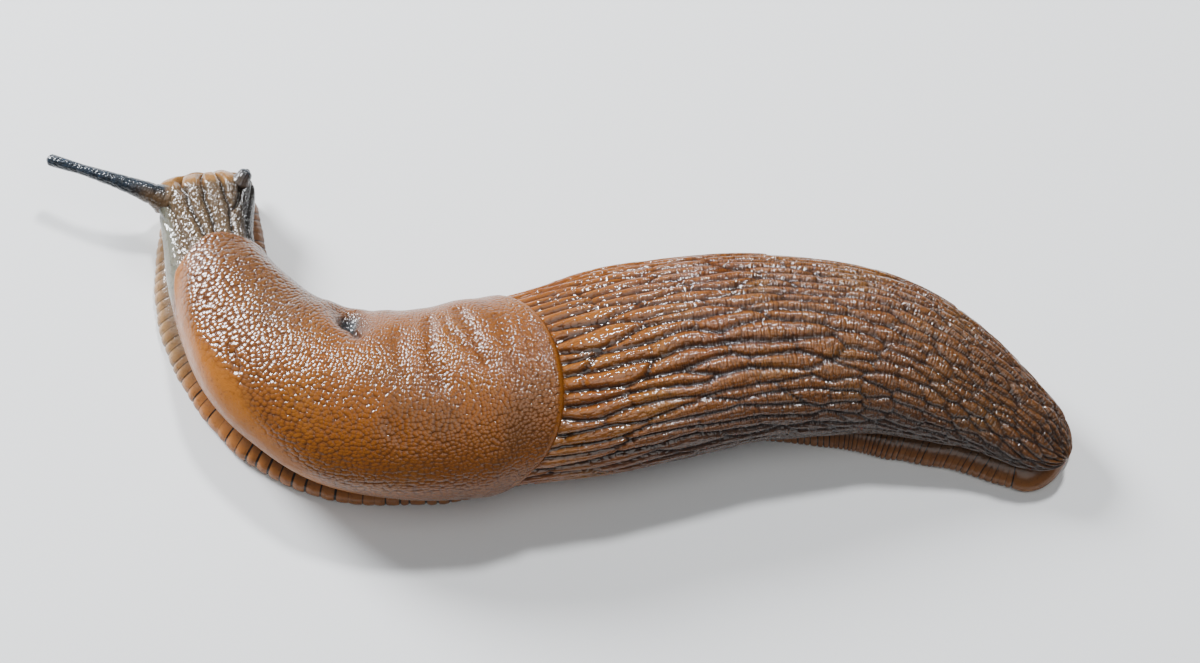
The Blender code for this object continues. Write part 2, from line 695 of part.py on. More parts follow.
def make_feelers(skin, black):
    left, tip, heading = make_feeler("tentacle_upper_left", *UPPER_LEFT_ROOT, UPPER_LEFT_REACH,
                                     UPPER_RADII, skin)
    add_eye("eye_left", left, tip, heading, skin, black)
    right, tip, heading = make_feeler("tentacle_upper_right", *UPPER_RIGHT_ROOT, UPPER_RIGHT_REACH,
                                      WITHDRAWN_RADII, skin)
    add_eye("eye_right", right, tip, heading, skin, black)
    for side, name in ((-1, "tentacle_lower_left"), (1, "tentacle_lower_right")):
        reach = Vector((side * LOWER_REACH.x, LOWER_REACH.y, LOWER_REACH.z))
        make_feeler(name, LOWER_ROOT_STATION, side * LOWER_ROOT_ANGLE, reach, LOWER_RADII, skin)


def centre_on_floor():
    # The finished model is moved so that the middle of its outline on the floor is the origin.
    things = list(bpy.data.objects)
    corners = np.array([vertex.co[:] for thing in things for vertex in thing.data.vertices])
    middle = (corners.min(axis=0) + corners.max(axis=0)) / 2
    for thing in things:
        thing.data.transform(Matrix.Translation((-middle[0], -middle[1], -corners[:, 2].min())))


def build():
    clear_scene()
    back = flesh_material("back_brown", BROWN, SKIN_ROUGHNESS)
    cap = flesh_material("mantle_orange", ORANGE, SKIN_ROUGHNESS)
    neck = flesh_material("neck_tan", TAN, SKIN_ROUGHNESS)
    fringe = flesh_material("fringe_orange", ORANGE, FRINGE_ROUGHNESS)
    feeler = flesh_material("feeler_blue_black", BLUE_BLACK, FEELER_ROUGHNESS)
    eye = flesh_material("eye_black", BLACK, EYE_ROUGHNESS)
    make_head(neck)
    make_neck(neck)
    make_trunk_front(back)
    make_trunk("trunk_middle", FRONT_END, MIDDLE_END, TRUNK_MIDDLE_ROWS, back)
    make_trunk("trunk_rear", MIDDLE_END, REAR_END, TRUNK_REAR_ROWS, back)
    make_tail(back)
    make_mantle(cap)
    make_foot("foot_front", None, FOOT_CUTS[0], fringe)
    make_foot("foot_middle", FOOT_CUTS[0], FOOT_CUTS[1], fringe)
    make_foot("foot_rear", FOOT_CUTS[1], None, fringe)
    make_feelers(feeler, eye)
    centre_on_floor()


build()
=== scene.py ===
import math

import bmesh
import bpy
import numpy as np
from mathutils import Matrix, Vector


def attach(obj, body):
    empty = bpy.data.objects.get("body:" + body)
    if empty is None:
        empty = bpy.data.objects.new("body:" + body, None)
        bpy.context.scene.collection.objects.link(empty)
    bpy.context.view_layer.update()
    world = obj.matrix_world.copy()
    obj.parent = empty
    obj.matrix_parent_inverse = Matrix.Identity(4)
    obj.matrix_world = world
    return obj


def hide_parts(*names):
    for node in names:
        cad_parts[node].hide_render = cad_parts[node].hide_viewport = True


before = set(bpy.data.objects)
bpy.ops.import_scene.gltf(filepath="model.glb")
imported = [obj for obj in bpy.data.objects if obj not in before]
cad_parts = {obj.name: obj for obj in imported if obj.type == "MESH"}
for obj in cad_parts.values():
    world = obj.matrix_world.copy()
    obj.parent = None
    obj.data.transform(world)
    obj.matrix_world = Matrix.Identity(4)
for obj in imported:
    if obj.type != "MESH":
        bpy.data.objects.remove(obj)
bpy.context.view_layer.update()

# Lengths are in millimetres until a mesh is made.
# A station is a length along the spine from the front of the head to the tip of the tail.
# An angle goes round the body from the middle of the back, and the animal's right is positive.
millimetre = 0.001

body = {
    "origin": (5.70, 2.21),  # where the spine's own zero lies in the row frame
    "spine": (
        (-45.8, 18.0), (-45.0, 12.5), (-43.2, 6.0), (-40.2, -0.4), (-35.6, -6.6), (-29.0, -10.8),
        (-20.5, -12.3), (-9.0, -10.7), (5.0, -7.4), (19.0, -4.9), (31.0, -5.2), (40.9, -9.4), (51.6, -17.1),
    ),
    "halfWidth": (
        (0, 5.1), (4, 5.5), (9, 5.2), (14, 5.5), (20, 6.7), (28, 8.1), (38, 9.2), (50, 10.2),
        (57, 11.0), (64, 11.9), (74, 11.7), (84, 10.9), (94, 9.8), (104, 7.8), (112, 5.4), (120, 3.6),
    ),
    "height": (
        (0, 6.2), (4, 6.9), (9, 7.2), (14, 8.0), (20, 9.4), (28, 11.0), (38, 12.2), (50, 13.2),
        (57, 13.9), (64, 14.6), (74, 14.6), (84, 13.8), (94, 12.4), (104, 10.3), (112, 7.8), (120, 5.2),
    ),
    "lean": (  # how far the sole lies to the left of the back
        (0, 0.0), (6, 0.6), (12, 1.8), (20, 1.6), (28, 0.9), (38, 0.2), (46, 0.0), (80, 0.0),
        (92, 0.8), (102, 0.8), (112, 0.3), (120, 0.0),
    ),
    "floor": 2.5,  # height of the flesh's lower edge over the sole
    "widestShare": 0.42,
    "undersideShare": 0.74,
    "noseLength": 2.6,
    "noseHeight": 4.2,
    "tailLength": 5.0,
    "tailHeight": 3.4,
    "roundPower": 0.8,
}
lowestAngle = math.pi - math.asin(body["undersideShare"])


def smoothCurve(places, values, at):
    # Cubic through the values, with slopes taken from the neighbours on both sides.
    slopes = np.gradient(values, places)
    at = np.clip(at, places[0], places[-1])
    left = np.clip(np.searchsorted(places, at, side="right") - 1, 0, len(places) - 2)
    width = places[left + 1] - places[left]
    part = (at - places[left]) / width
    square, cube = part ** 2, part ** 3
    start = (2 * cube - 3 * square + 1) * values[left] + (cube - 2 * square + part) * width * slopes[left]
    end = (3 * square - 2 * cube) * values[left + 1] + (cube - square) * width * slopes[left + 1]
    return start + end


def sizeAt(table, station):
    pairs = np.array(table, dtype=float)
    return smoothCurve(pairs[:, 0], pairs[:, 1], station)


def smoothStep(value, low, high):
    part = np.clip((value - low) / (high - low), 0.0, 1.0)
    return part * part * (3 - 2 * part)


def sampleSpine(count=1600):
    # Walks the smooth curve and adds up its length, so that a station can be looked up.
    points = np.array(body["spine"])
    chords = np.concatenate(([0.0], np.cumsum(np.hypot(*np.diff(points, axis=0).T))))
    fine = np.linspace(0.0, chords[-1], count)
    x = smoothCurve(chords, points[:, 0], fine)
    y = smoothCurve(chords, points[:, 1], fine)
    stations = np.concatenate(([0.0], np.cumsum(np.hypot(np.diff(x), np.diff(y)))))
    return stations, x, y, np.unwrap(np.arctan2(np.gradient(y), np.gradient(x)))


spineStation, spineX, spineY, spineTurn = sampleSpine()
bodyLength = spineStation[-1]


def placed(station, sideways, height):
    # A point at a station, a length to the animal's right and up from the floor, in the row frame.
    turn = np.interp(station, spineStation, spineTurn)
    beyond = np.minimum(station, 0.0) + np.maximum(station - bodyLength, 0.0)
    x = np.interp(station, spineStation, spineX) + beyond * np.cos(turn) - sideways * np.sin(turn)
    y = np.interp(station, spineStation, spineY) + beyond * np.sin(turn) + sideways * np.cos(turn)
    return np.stack((x + body["origin"][0], y + body["origin"][1], height + 0.0 * x), axis=-1)


def endShare(station):
    # Share of the full section, less than 1 only where the nose and tail are rounded off.
    nose = np.clip(1.0 - station / body["noseLength"], 0.0, 1.0)
    tail = np.clip(1.0 - (bodyLength - station) / body["tailLength"], 0.0, 1.0)
    return ((1.0 - nose ** 2) * (1.0 - tail ** 2)) ** (body["roundPower"] / 2)


def section(station, angle):
    # Half an ellipse above the widest line and part of a second one below it, slanted by the lean.
    halfWidth = sizeAt(body["halfWidth"], station)
    top = sizeAt(body["height"], station)
    widest = body["floor"] + body["widestShare"] * (top - body["floor"])
    drop = (widest - body["floor"]) / -math.cos(lowestAngle)
    height = widest + np.where(np.cos(angle) > 0, top - widest, drop) * np.cos(angle)
    slant = sizeAt(body["lean"], station) * (top - height) / (top - body["floor"])
    return halfWidth * np.sin(angle) - slant, height


def squeezed(station, sideways, height):
    # Draws a section together towards the middle of the nose or of the tail's tip.
    share = endShare(station)
    core = np.where(station < bodyLength / 2, body["noseHeight"], body["tailHeight"])
    return share * sideways, core + share * (height - core)


def fleshSurface(station, angle):
    return placed(station, *squeezed(station, *section(station, angle)))


def fleshNormal(station, angle):
    along = fleshSurface(station + 0.2, angle) - fleshSurface(station - 0.2, angle)
    around = fleshSurface(station, angle + 0.01) - fleshSurface(station, angle - 0.01)
    normal = np.cross(along, around)
    return normal / np.linalg.norm(normal, axis=-1, keepdims=True)


def gridNormals(points):
    # Square to both directions of the grid, by central differences.
    normal = np.cross(np.gradient(points, axis=0), np.gradient(points, axis=1))
    return normal / np.maximum(np.linalg.norm(normal, axis=-1, keepdims=True), 1e-9)


def hashed(column, row, seed):
    # A fixed number from 0 to 1 for each pair of whole numbers: the fraction of a large sine.
    value = np.sin(column * 127.1 + row * 311.7 + seed * 74.7) * 43758.5453
    return value - np.floor(value)


def waves(across, along, seed):
    # Smooth noise from -1 to 1: random numbers on a unit grid, blended between its corners.
    column, row = np.floor(across), np.floor(along)
    partAcross = smoothStep(across - column, 0.0, 1.0)
    partAlong = smoothStep(along - row, 0.0, 1.0)
    near = hashed(column, row, seed) * (1 - partAcross) + hashed(column + 1, row, seed) * partAcross
    far = hashed(column, row + 1, seed) * (1 - partAcross) + hashed(column + 1, row + 1, seed) * partAcross
    return 2.0 * (near * (1 - partAlong) + far * partAlong) - 1.0


def cells(across, along, size, scatter, stretch, seed):
    # Skin cells in columns, where across counts columns and along counts cells, each of a size given
    # in millimetres. A larger stretch gives more pointed ends. The own cell is that of the nearest centre. The distance to a border is half the
    # difference of the squared distances to both centres, divided by how fast it grows.
    # Returns the distance to each neighbour's border, how far it runs lengthwise, and the own number.
    gaps = []
    for step in (-1, 0, 1):
        column = np.floor(across) + step
        phase = 0.5 * (column - 2 * np.floor(column / 2)) + scatter[1] * hashed(column, 0.0, seed)
        for ahead in (-1, 0, 1):
            row = np.floor(along + phase) + ahead
            gapAcross = column + 0.5 + scatter[0] * (hashed(column, row, seed + 1) - 0.5) - across
            gapAlong = row + 0.5 + scatter[1] * (hashed(column, row, seed + 2) - 0.5) - phase - along
            gaps.append((gapAcross, gapAlong * stretch, hashed(column, row, seed + 3)))
    gapAcross, gapAlong, number = (np.stack(part) for part in zip(*gaps))
    square = gapAcross ** 2 + gapAlong ** 2
    own = np.argmin(square, axis=0)[None]
    apartAcross = (gapAcross - np.take_along_axis(gapAcross, own, 0)) / size[0]
    apartAlong = (gapAlong - np.take_along_axis(gapAlong, own, 0)) * stretch / size[1]
    growth = np.maximum(np.hypot(apartAcross, apartAlong), 1e-9)
    distance = (square - np.take_along_axis(square, own, 0)) / 2 / growth
    np.put_along_axis(distance, own, 9.0, 0)
    lengthwise = np.abs(apartAcross) / growth
    return distance, lengthwise, np.take_along_axis(number, own, 0)[0]


def fromPath(station, sideways, path):
    # Distance from a chain of straight lines between places given as (station, angle in degrees).
    places = [(place, float(arcSideways(place, math.radians(degrees)))) for place, degrees in path]
    nearest = np.full(station.shape, 99.0)
    for (startAlong, startAcross), (endAlong, endAcross) in zip(places, places[1:]):
        runAlong, runAcross = endAlong - startAlong, endAcross - startAcross
        share = (station - startAlong) * runAlong + (sideways - startAcross) * runAcross
        share = np.clip(share / (runAlong ** 2 + runAcross ** 2), 0.0, 1.0)
        away = np.hypot(station - startAlong - share * runAlong, sideways - startAcross - share * runAcross)
        nearest = np.minimum(nearest, away)
    return nearest


def arcSideways(station, angle):
    # Length on the skin from the middle of the back, near enough for patterns.
    return angle * 0.97 * sizeAt(body["halfWidth"], station)


print("body plan ready, length", round(float(bodyLength), 1), "mm")


# The skin is gathered shell by shell. Each shell is a grid of points with a few values at each point.
shells = []


def addShell(points, finish, lay, sheet, **values):
    # lay is the place on the skin in millimetres for patterns, and sheet the place on the flat layout.
    shells.append({"points": points, "finish": finish, "lay": lay, "sheet": sheet, "values": values})


def roundedRows(low, high, step):
    return np.linspace(low, high, max(int(round((high - low) / step)), 1) + 1)


# Back, flanks, neck and head.
back = {
    "columns": 190,
    "neckStep": 0.24,
    "coveredStep": 1.5,
    "backStep": 0.385,
    "ridgePitch": ((-24, 1.8), (-12, 1.72), (-6, 1.58), (0, 1.4), (8, 1.25), (24, 1.25)),  # by the length from the middle
    "ridgeDepth": ((50, 0.27), (75, 0.27), (95, 0.2), (120, 0.17)),
    "domeDepth": ((50, 0.45), (66, 0.34), (82, 0.16), (100, 0.1), (120, 0.12)),
    "crossDepth": ((50, 0.12), (75, 0.25), (95, 0.5), (110, 0.75), (120, 0.9)),  # of the grooves across the ridges
    "grooveWidth": 0.2,
    "ridgeScatter": (((50, 0.42), (85, 0.5), (110, 0.75)), ((50, 0.7), (85, 0.8), (110, 1.0))),  # across and along
    "pointed": 1.25,
    "uneven": 0.1,  # height by which the cells differ
    "tubercleLength": ((50, 10.5), (62, 10.0), (80, 8.0), (95, 5.2), (108, 3.2), (120, 2.3)),
    "wander": 0.5,
    "wanderLength": 9.0,
    "lift": 0.45,  # the back is plumper just behind the mantle
    "liftEnd": 8.0,
    "sunk": 0.9,  # under the mantle, so that nothing shows through the pore
    "tailPit": (118.4, 0.0, 0.9, 0.35),  # station, sideways, width and depth
}
head = {
    "furrows": (  # paths of (station, angle in degrees), and the depth of each
        (((0.9, -82), (3.2, -60), (4.8, -50), (6.3, -44), (7.6, -40), (10.0, -33)), 0.3),
        (((0.3, -48), (1.1, -42), (3.0, -26), (4.6, -22), (6.0, -18), (7.5, -13), (10.0, -7)), 0.5),
        (((0.3, -9), (1.2, -6), (3.2, -2), (5.3, 0), (8.2, 4), (10.0, 6)), 0.5),
        (((0.3, 20), (2.8, 21), (4.6, 24), (6.1, 29), (8.5, 29), (10.0, 30)), 0.5),
        (((0.9, 53), (3.0, 48), (4.3, 45), (5.4, 41), (6.3, 31)), 0.5),
        (((1.5, 78), (5.0, 66), (7.0, 60), (10.0, 55)), 0.35),
        (((4.0, -88), (5.7, -66), (7.0, -52), (9.0, -47)), 0.2),
    ),
    "furrowWidth": 0.34,
    "bandEnd": (2.0, 3.0),  # the lobes are smooth in front of this
    "beadLength": 0.85,
    "beadWidth": 0.7,
    "beadDepth": 0.13,
    "lobeLift": 0.3,
    "corner": (2.0, -66, 1.7, 0.75),  # station, angle, width and height of the left cheek's swelling
    "lips": {"radii": (1.7, 1.6, 1.2), "station": 0.9, "sideways": 1.5, "height": 3.7, "blend": 5},
    "mouth": {"radius": 1.25, "height": 2.15, "width": 0.24, "depth": 0.55, "reach": 1.6},
}


def mantleEdge(station, side):
    # Angle of the mantle's border at a station, on the left for a negative side.
    left = -np.radians(sizeAt(mantle["leftEdge"], station))
    right = np.radians(sizeAt(mantle["rightEdge"], station))
    return np.where(side > 0, right, left)


def mantleEnds(share):
    return mantle["front"] + mantle["frontCurve"] * share ** 2, mantle["rear"] - mantle["rearCurve"] * share ** 2


mantle = {
    "front": 9.4,
    "rear": 60.2,
    "frontCurve": 3.6,
    "rearCurve": 10.0,
    "leftEdge": (
        (9, 30), (10.5, 44), (12.5, 57), (15.5, 71), (19, 82), (22, 88), (26, 94), (31, 98), (40, 99), (60, 100),
    ),
    "rightEdge": ((9, 50), (14, 72), (22, 88), (60, 92)),
    "rimLift": 1.0,
    "crownLift": 1.8,
    "slim": (0.75, 40, 80, 12, 17, 30, 38),  # depth, angles and stations where the left side lies flatter
    "rimWidth": 0.9,
    "step": 0.37,
    "rimSteps": (0.0, 0.04, 0.12, 0.25, 0.42, 0.62, 0.82),
    "granule": ((9, 0.54), (24, 0.5), (36, 0.42), (60, 0.37)),  # size along the mantle
    "smoothEdge": (  # the skin is smooth on the left of this line of (station, angle in degrees)
        (9, -30), (12.9, -43), (16.4, -49), (20.1, -50), (23.8, -45), (27.8, -44), (31, -56), (37, -80), (44, -115),
    ),
    "folds": (  # path of (station, angle in degrees), width and depth
        (((50.6, 46), (51.6, 26), (52.6, 4)), 0.65, 0.32),
        (((46.2, 44), (46.6, 16), (47.2, -4)), 0.75, 0.3),
        (((48.4, 42), (49.6, 26), (51.0, 14)), 0.5, 0.22),
        (((54.5, 30), (56.0, -12)), 0.8, 0.18),
        (((42.0, 34), (43.4, 2)), 0.8, 0.18),
        (((25.2, -29), (26.6, -33)), 0.4, 0.3),
        (((42.6, -28), (43.6, -36)), 0.9, 0.15),
    ),
    "lumps": ((2.6, 0.07), (7.0, 0.2)),  # size and height
    "pore": {
        "place": (33.2, 50),
        "dimple": (1.6, 1.8),  # radii along and across
        "dimpleDepth": 0.95,
        "valley": ((30.8, 56), (35.4, 39)),
        "valleyWidth": 1.9,
        "valleyDepth": 0.75,
        "crease": ((34.0, 44), (35.4, 36), (36.6, 31)),
        "creaseWidth": 0.42,
        "creaseDepth": 0.55,
        "shade": ((35.2, 48), (36.8, 39)),
        "shadeWidth": 1.5,
    },
}


def coveredByMantle(station, angle):
    # 1 well inside the mantle's border and 0 outside it.
    share = np.clip(angle / mantleEdge(np.minimum(station, mantle["rear"]), angle), 0.0, 1.3)
    front, rear = mantleEnds(np.minimum(share, 1.0))
    inside = np.minimum(station - front, rear - station)
    return smoothStep(inside, 0.6, 2.2) * smoothStep(1.0 - share, 0.02, 0.12)


def backRelief(station, angle):
    # Long wandering ridges of spindle-shaped cells. They shorten to blocks at the tail, and fade at
    # the mantle and at the foot.
    girth = sizeAt(body["halfWidth"], station) / max(pair[1] for pair in body["halfWidth"])
    sideways = angle * 11.5 * np.sqrt(girth)
    line = np.linspace(0.0, bodyLength, 600)
    walked = np.cumsum(1.0 / sizeAt(back["tubercleLength"], line)) * (line[1] - line[0])
    along = np.interp(station, line, walked)
    arc = np.linspace(-26.0, 26.0, 600)
    crossed = np.cumsum(1.0 / sizeAt(back["ridgePitch"], arc)) * (arc[1] - arc[0])
    across = np.interp(sideways, arc, crossed)
    across = across + back["wander"] * waves(sideways / 6.0, station / back["wanderLength"], 3)
    across = across + 0.3 * back["wander"] * waves(sideways / 2.4, station / 3.2, 4)
    across = across + 0.3 * waves(sideways / 3.3, station / 16.0, 6)
    size = (sizeAt(back["ridgePitch"], sideways) * np.sqrt(girth), sizeAt(back["tubercleLength"], station))
    scatter = [sizeAt(table, station) for table in back["ridgeScatter"]]
    distance, lengthwise, own = cells(across, along, size, scatter, back["pointed"], 11)
    depth = sizeAt(back["crossDepth"], station)
    depth = depth + (1.0 - depth) * smoothStep(lengthwise, 0.5, 0.95)
    groove = np.clip(np.sum(depth * np.exp(-(distance / back["grooveWidth"]) ** 2), axis=0), 0.0, 1.3)
    dome = 1.0 - np.clip(np.min(distance / (0.4 + 0.6 * depth), axis=0) / 0.8, 0.0, 1.0)
    share = np.clip(angle / mantleEdge(np.minimum(station, mantle["rear"]), angle), 0.0, 1.0)
    behind = station - mantleEnds(share)[1]
    shown = smoothStep(behind, -0.8, 0.4) * smoothStep(lowestAngle - np.abs(angle), 0.02, 0.4)
    return groove, dome ** 2, own, shown, behind


def neckRelief(station, angle):
    # Furrows run along the neck between lobes that are smooth in front and beaded behind.
    sideways = arcSideways(station, angle)
    wobble = sideways + 0.16 * waves(station / 1.1, sideways / 1.3, 21)
    furrow = np.zeros(station.shape)
    for path, depth in head["furrows"]:
        away = fromPath(station, wobble, path)
        furrow = np.maximum(furrow, depth * np.exp(-(away / head["furrowWidth"]) ** 2))
    size = (head["beadWidth"], head["beadLength"])
    distance, lengthwise, own = cells(sideways / size[0], station / size[1], size, (0.6, 0.6), 1.1, 31)
    beads = np.max(np.exp(-(distance / 0.16) ** 2), axis=0) * (0.6 + 0.4 * own)
    beads = beads * smoothStep(station, *head["bandEnd"]) * np.clip(1.0 - 3.0 * furrow, 0.0, 1.0)
    beads = beads * (1.0 - smoothStep(np.abs(angle), math.radians(52), math.radians(70)))
    return furrow, beads


def swell(place, centre, radii, blend):
    # Pushes what lies inside an ellipsoid out to its surface, with a smooth edge all round.
    apart = [(value - middle) / radius for value, middle, radius in zip(place, centre, radii)]
    reach = np.maximum(np.sqrt(sum(part ** 2 for part in apart)), 1e-6)
    grown = (reach ** blend + 1.0) ** (1.0 / blend) / reach
    grown = np.where(reach > 2.2, 1.0, grown)
    return [middle + (value - middle) * grown for value, middle in zip(place, centre)]


def makeBackShell():
    nose = body["noseLength"] * (1.0 - np.cos(np.radians(90.0 * np.linspace(0.0, 1.0, 42) ** 1.25)))
    neck = roundedRows(body["noseLength"], 15.0, back["neckStep"])[1:]
    covered = roundedRows(15.0, 48.0, back["coveredStep"])[1:]
    rear = roundedRows(48.0, bodyLength - body["tailLength"], back["backStep"])[1:]
    tail = bodyLength - body["tailLength"] * (1.0 - np.cos(np.radians(np.linspace(90.0, 0.0, 24))))[1:]
    stations = np.concatenate((nose, neck, covered, rear, tail))
    angles = np.linspace(-lowestAngle, lowestAngle, back["columns"])
    station, angle = np.meshgrid(stations, angles, indexing="ij")
    sideways, height = section(station, angle)

    # The hidden underside closes each ring inside the foot.
    underShares = np.array((0.93, 0.6, 0.2, -0.2, -0.6, -0.93))
    underHeights = np.array((1.9, 1.5, 1.3, 1.3, 1.5, 1.9))
    flank = body["undersideShare"] * sizeAt(body["halfWidth"], stations)[:, None]
    lean = sizeAt(body["lean"], stations)[:, None]
    sideways = np.concatenate((sideways, flank * underShares - lean, sideways[:, :1]), axis=1)
    height = np.concatenate((height, underHeights + 0.0 * flank, height[:, :1]), axis=1)
    station = np.concatenate((station, np.repeat(stations[:, None], 7, axis=1)), axis=1)
    underTurn = np.linspace(lowestAngle, 2 * math.pi - lowestAngle, 8)[1:]
    angle = np.concatenate((angle, np.repeat(underTurn[None], len(stations), axis=0)), axis=1)
    onBack = (np.arange(station.shape[1]) < back["columns"]) * 1.0 + 0.0 * station

    sideways, height = squeezed(station, sideways, height)
    place = [station, sideways, height]
    lips = head["lips"]
    for side in (-1, 1):
        centre = (lips["station"], side * lips["sideways"], lips["height"])
        place = swell(place, centre, lips["radii"], lips["blend"])
    points = placed(*place)
    normals = gridNormals(points)

    groove, dome, own, shown, behind = backRelief(station, angle)
    shown = shown * onBack
    furrow, beads = neckRelief(station, angle)
    front = (1.0 - smoothStep(station, 13.0, 16.0)) * onBack
    mouth = head["mouth"]
    fromMouth = np.hypot(place[1], place[2] - mouth["height"])
    lipLine = np.exp(-((fromMouth - mouth["radius"]) / mouth["width"]) ** 2)
    lipLine = lipLine * smoothStep(place[2] - mouth["height"], -0.5, 0.1) * (place[0] < mouth["reach"])
    covered = coveredByMantle(station, angle) * onBack
    pitStation, pitAcross, pitWidth, pitDepth = back["tailPit"]
    pit = np.exp(-np.hypot(station - pitStation, arcSideways(station, angle) - pitAcross) ** 2 / pitWidth ** 2)

    share = endShare(station)
    plump = smoothStep(behind, -1.0, 0.0) * (1.0 - smoothStep(behind, 0.0, back["liftEnd"]))
    lift = back["lift"] * plump * smoothStep(lowestAngle - np.abs(angle), 0.3, 1.0) * onBack
    relief = sizeAt(back["ridgeDepth"], station) * groove + sizeAt(back["domeDepth"], station) * dome - back["uneven"] * (own - 0.7)
    lift = lift - shown * (0.45 + 0.55 * share) * relief
    cornerStation, cornerDegrees, cornerWidth, cornerHeight = head["corner"]
    fromCorner = fromPath(station, arcSideways(station, angle), ((cornerStation, cornerDegrees), (cornerStation + 0.5, cornerDegrees)))
    lift = lift + cornerHeight * np.exp(-(fromCorner / cornerWidth) ** 2) * front
    onTop = 1.0 - smoothStep(np.abs(angle), math.radians(70), math.radians(100))
    lobes = smoothStep(station, 0.1, 0.7) * (1.0 - smoothStep(station, 2.5, 6.0)) * onTop
    lift = lift + front * (head["lobeLift"] * lobes * (1.0 - 2.0 * furrow) - furrow * smoothStep(station, 0.1, 0.6))
    lift = lift - head["beadDepth"] * beads * front * share
    lift = lift - mouth["depth"] * lipLine - back["sunk"] * covered - pitDepth * pit * onBack
    points = points + normals * lift[..., None]

    # deep darkens the colour in the grooves and valleys between the cells, the head's furrows and beads, the mouth's
    # line and under the lips (lipShade): painted shade in these hollows.
    fading = 1.0 - 0.3 * smoothStep(station, 80.0, 105.0)
    deep = np.clip((0.8 * groove + 0.4 * dome) * fading * shown + 1.9 * furrow * front + lipLine, 0.0, 1.0)
    deep = np.clip(deep + 0.45 * beads * front, 0.0, 1.0)
    # pale greys the neck's lower left flank: a painted reflection of the sky.
    pale = smoothStep(-angle, math.radians(44), math.radians(60)) * (1.0 - smoothStep(station, 18.0, 26.0))
    # The right side of the head and neck darkened: painted shade.
    dark = smoothStep(place[1], 2.4, 4.3) * (1.0 - smoothStep(station, 14.0, 24.0))
    neck = 1.0 - smoothStep(station, 13.0, 16.0)
    band = 1.0 - smoothStep(station, head["bandEnd"][0] - 0.4, head["bandEnd"][1] - 0.3)
    lipShade = np.exp(-np.hypot(place[1] / 2.2, (place[2] - mouth["height"] + 1.0) / 1.3) ** 2) * (place[0] < 3.0)
    lay = np.stack((station, arcSideways(station, angle)), axis=-1)
    sheet = np.stack((station, 27.0 + angle / lowestAngle * 26.0), axis=-1)
    addShell(points, "back", lay, sheet, groove=np.clip(deep + 0.45 * lipShade, 0.0, 1.0), neck=neck, pale=pale * onBack,
             dark=dark * onBack, band=band, ribs=smoothStep(station, 58.0, 84.0), rear=smoothStep(station, 60.0, 118.0),
             shade=smoothStep(-angle, math.radians(36), math.radians(78)) * smoothStep(station, 50.0, 75.0) * 0.75)
    print("back, neck and head shell", points.shape)


makeBackShell()


def rimmed(length, step, count=None):
    # Distances across a band of a length: close steps at both borders and even ones between them.
    rim = np.array(mantle["rimSteps"]) * mantle["rimWidth"]
    inner = np.linspace(0.0, 1.0, count or int(round(float(np.max(length)) / step)))
    low = mantle["rimWidth"] + inner * (np.asarray(length)[..., None] - 2 * mantle["rimWidth"])
    lowRim = np.broadcast_to(rim, low.shape[:-1] + rim.shape)
    return np.concatenate((lowRim, low, np.asarray(length)[..., None] - lowRim[..., ::-1]), axis=-1)


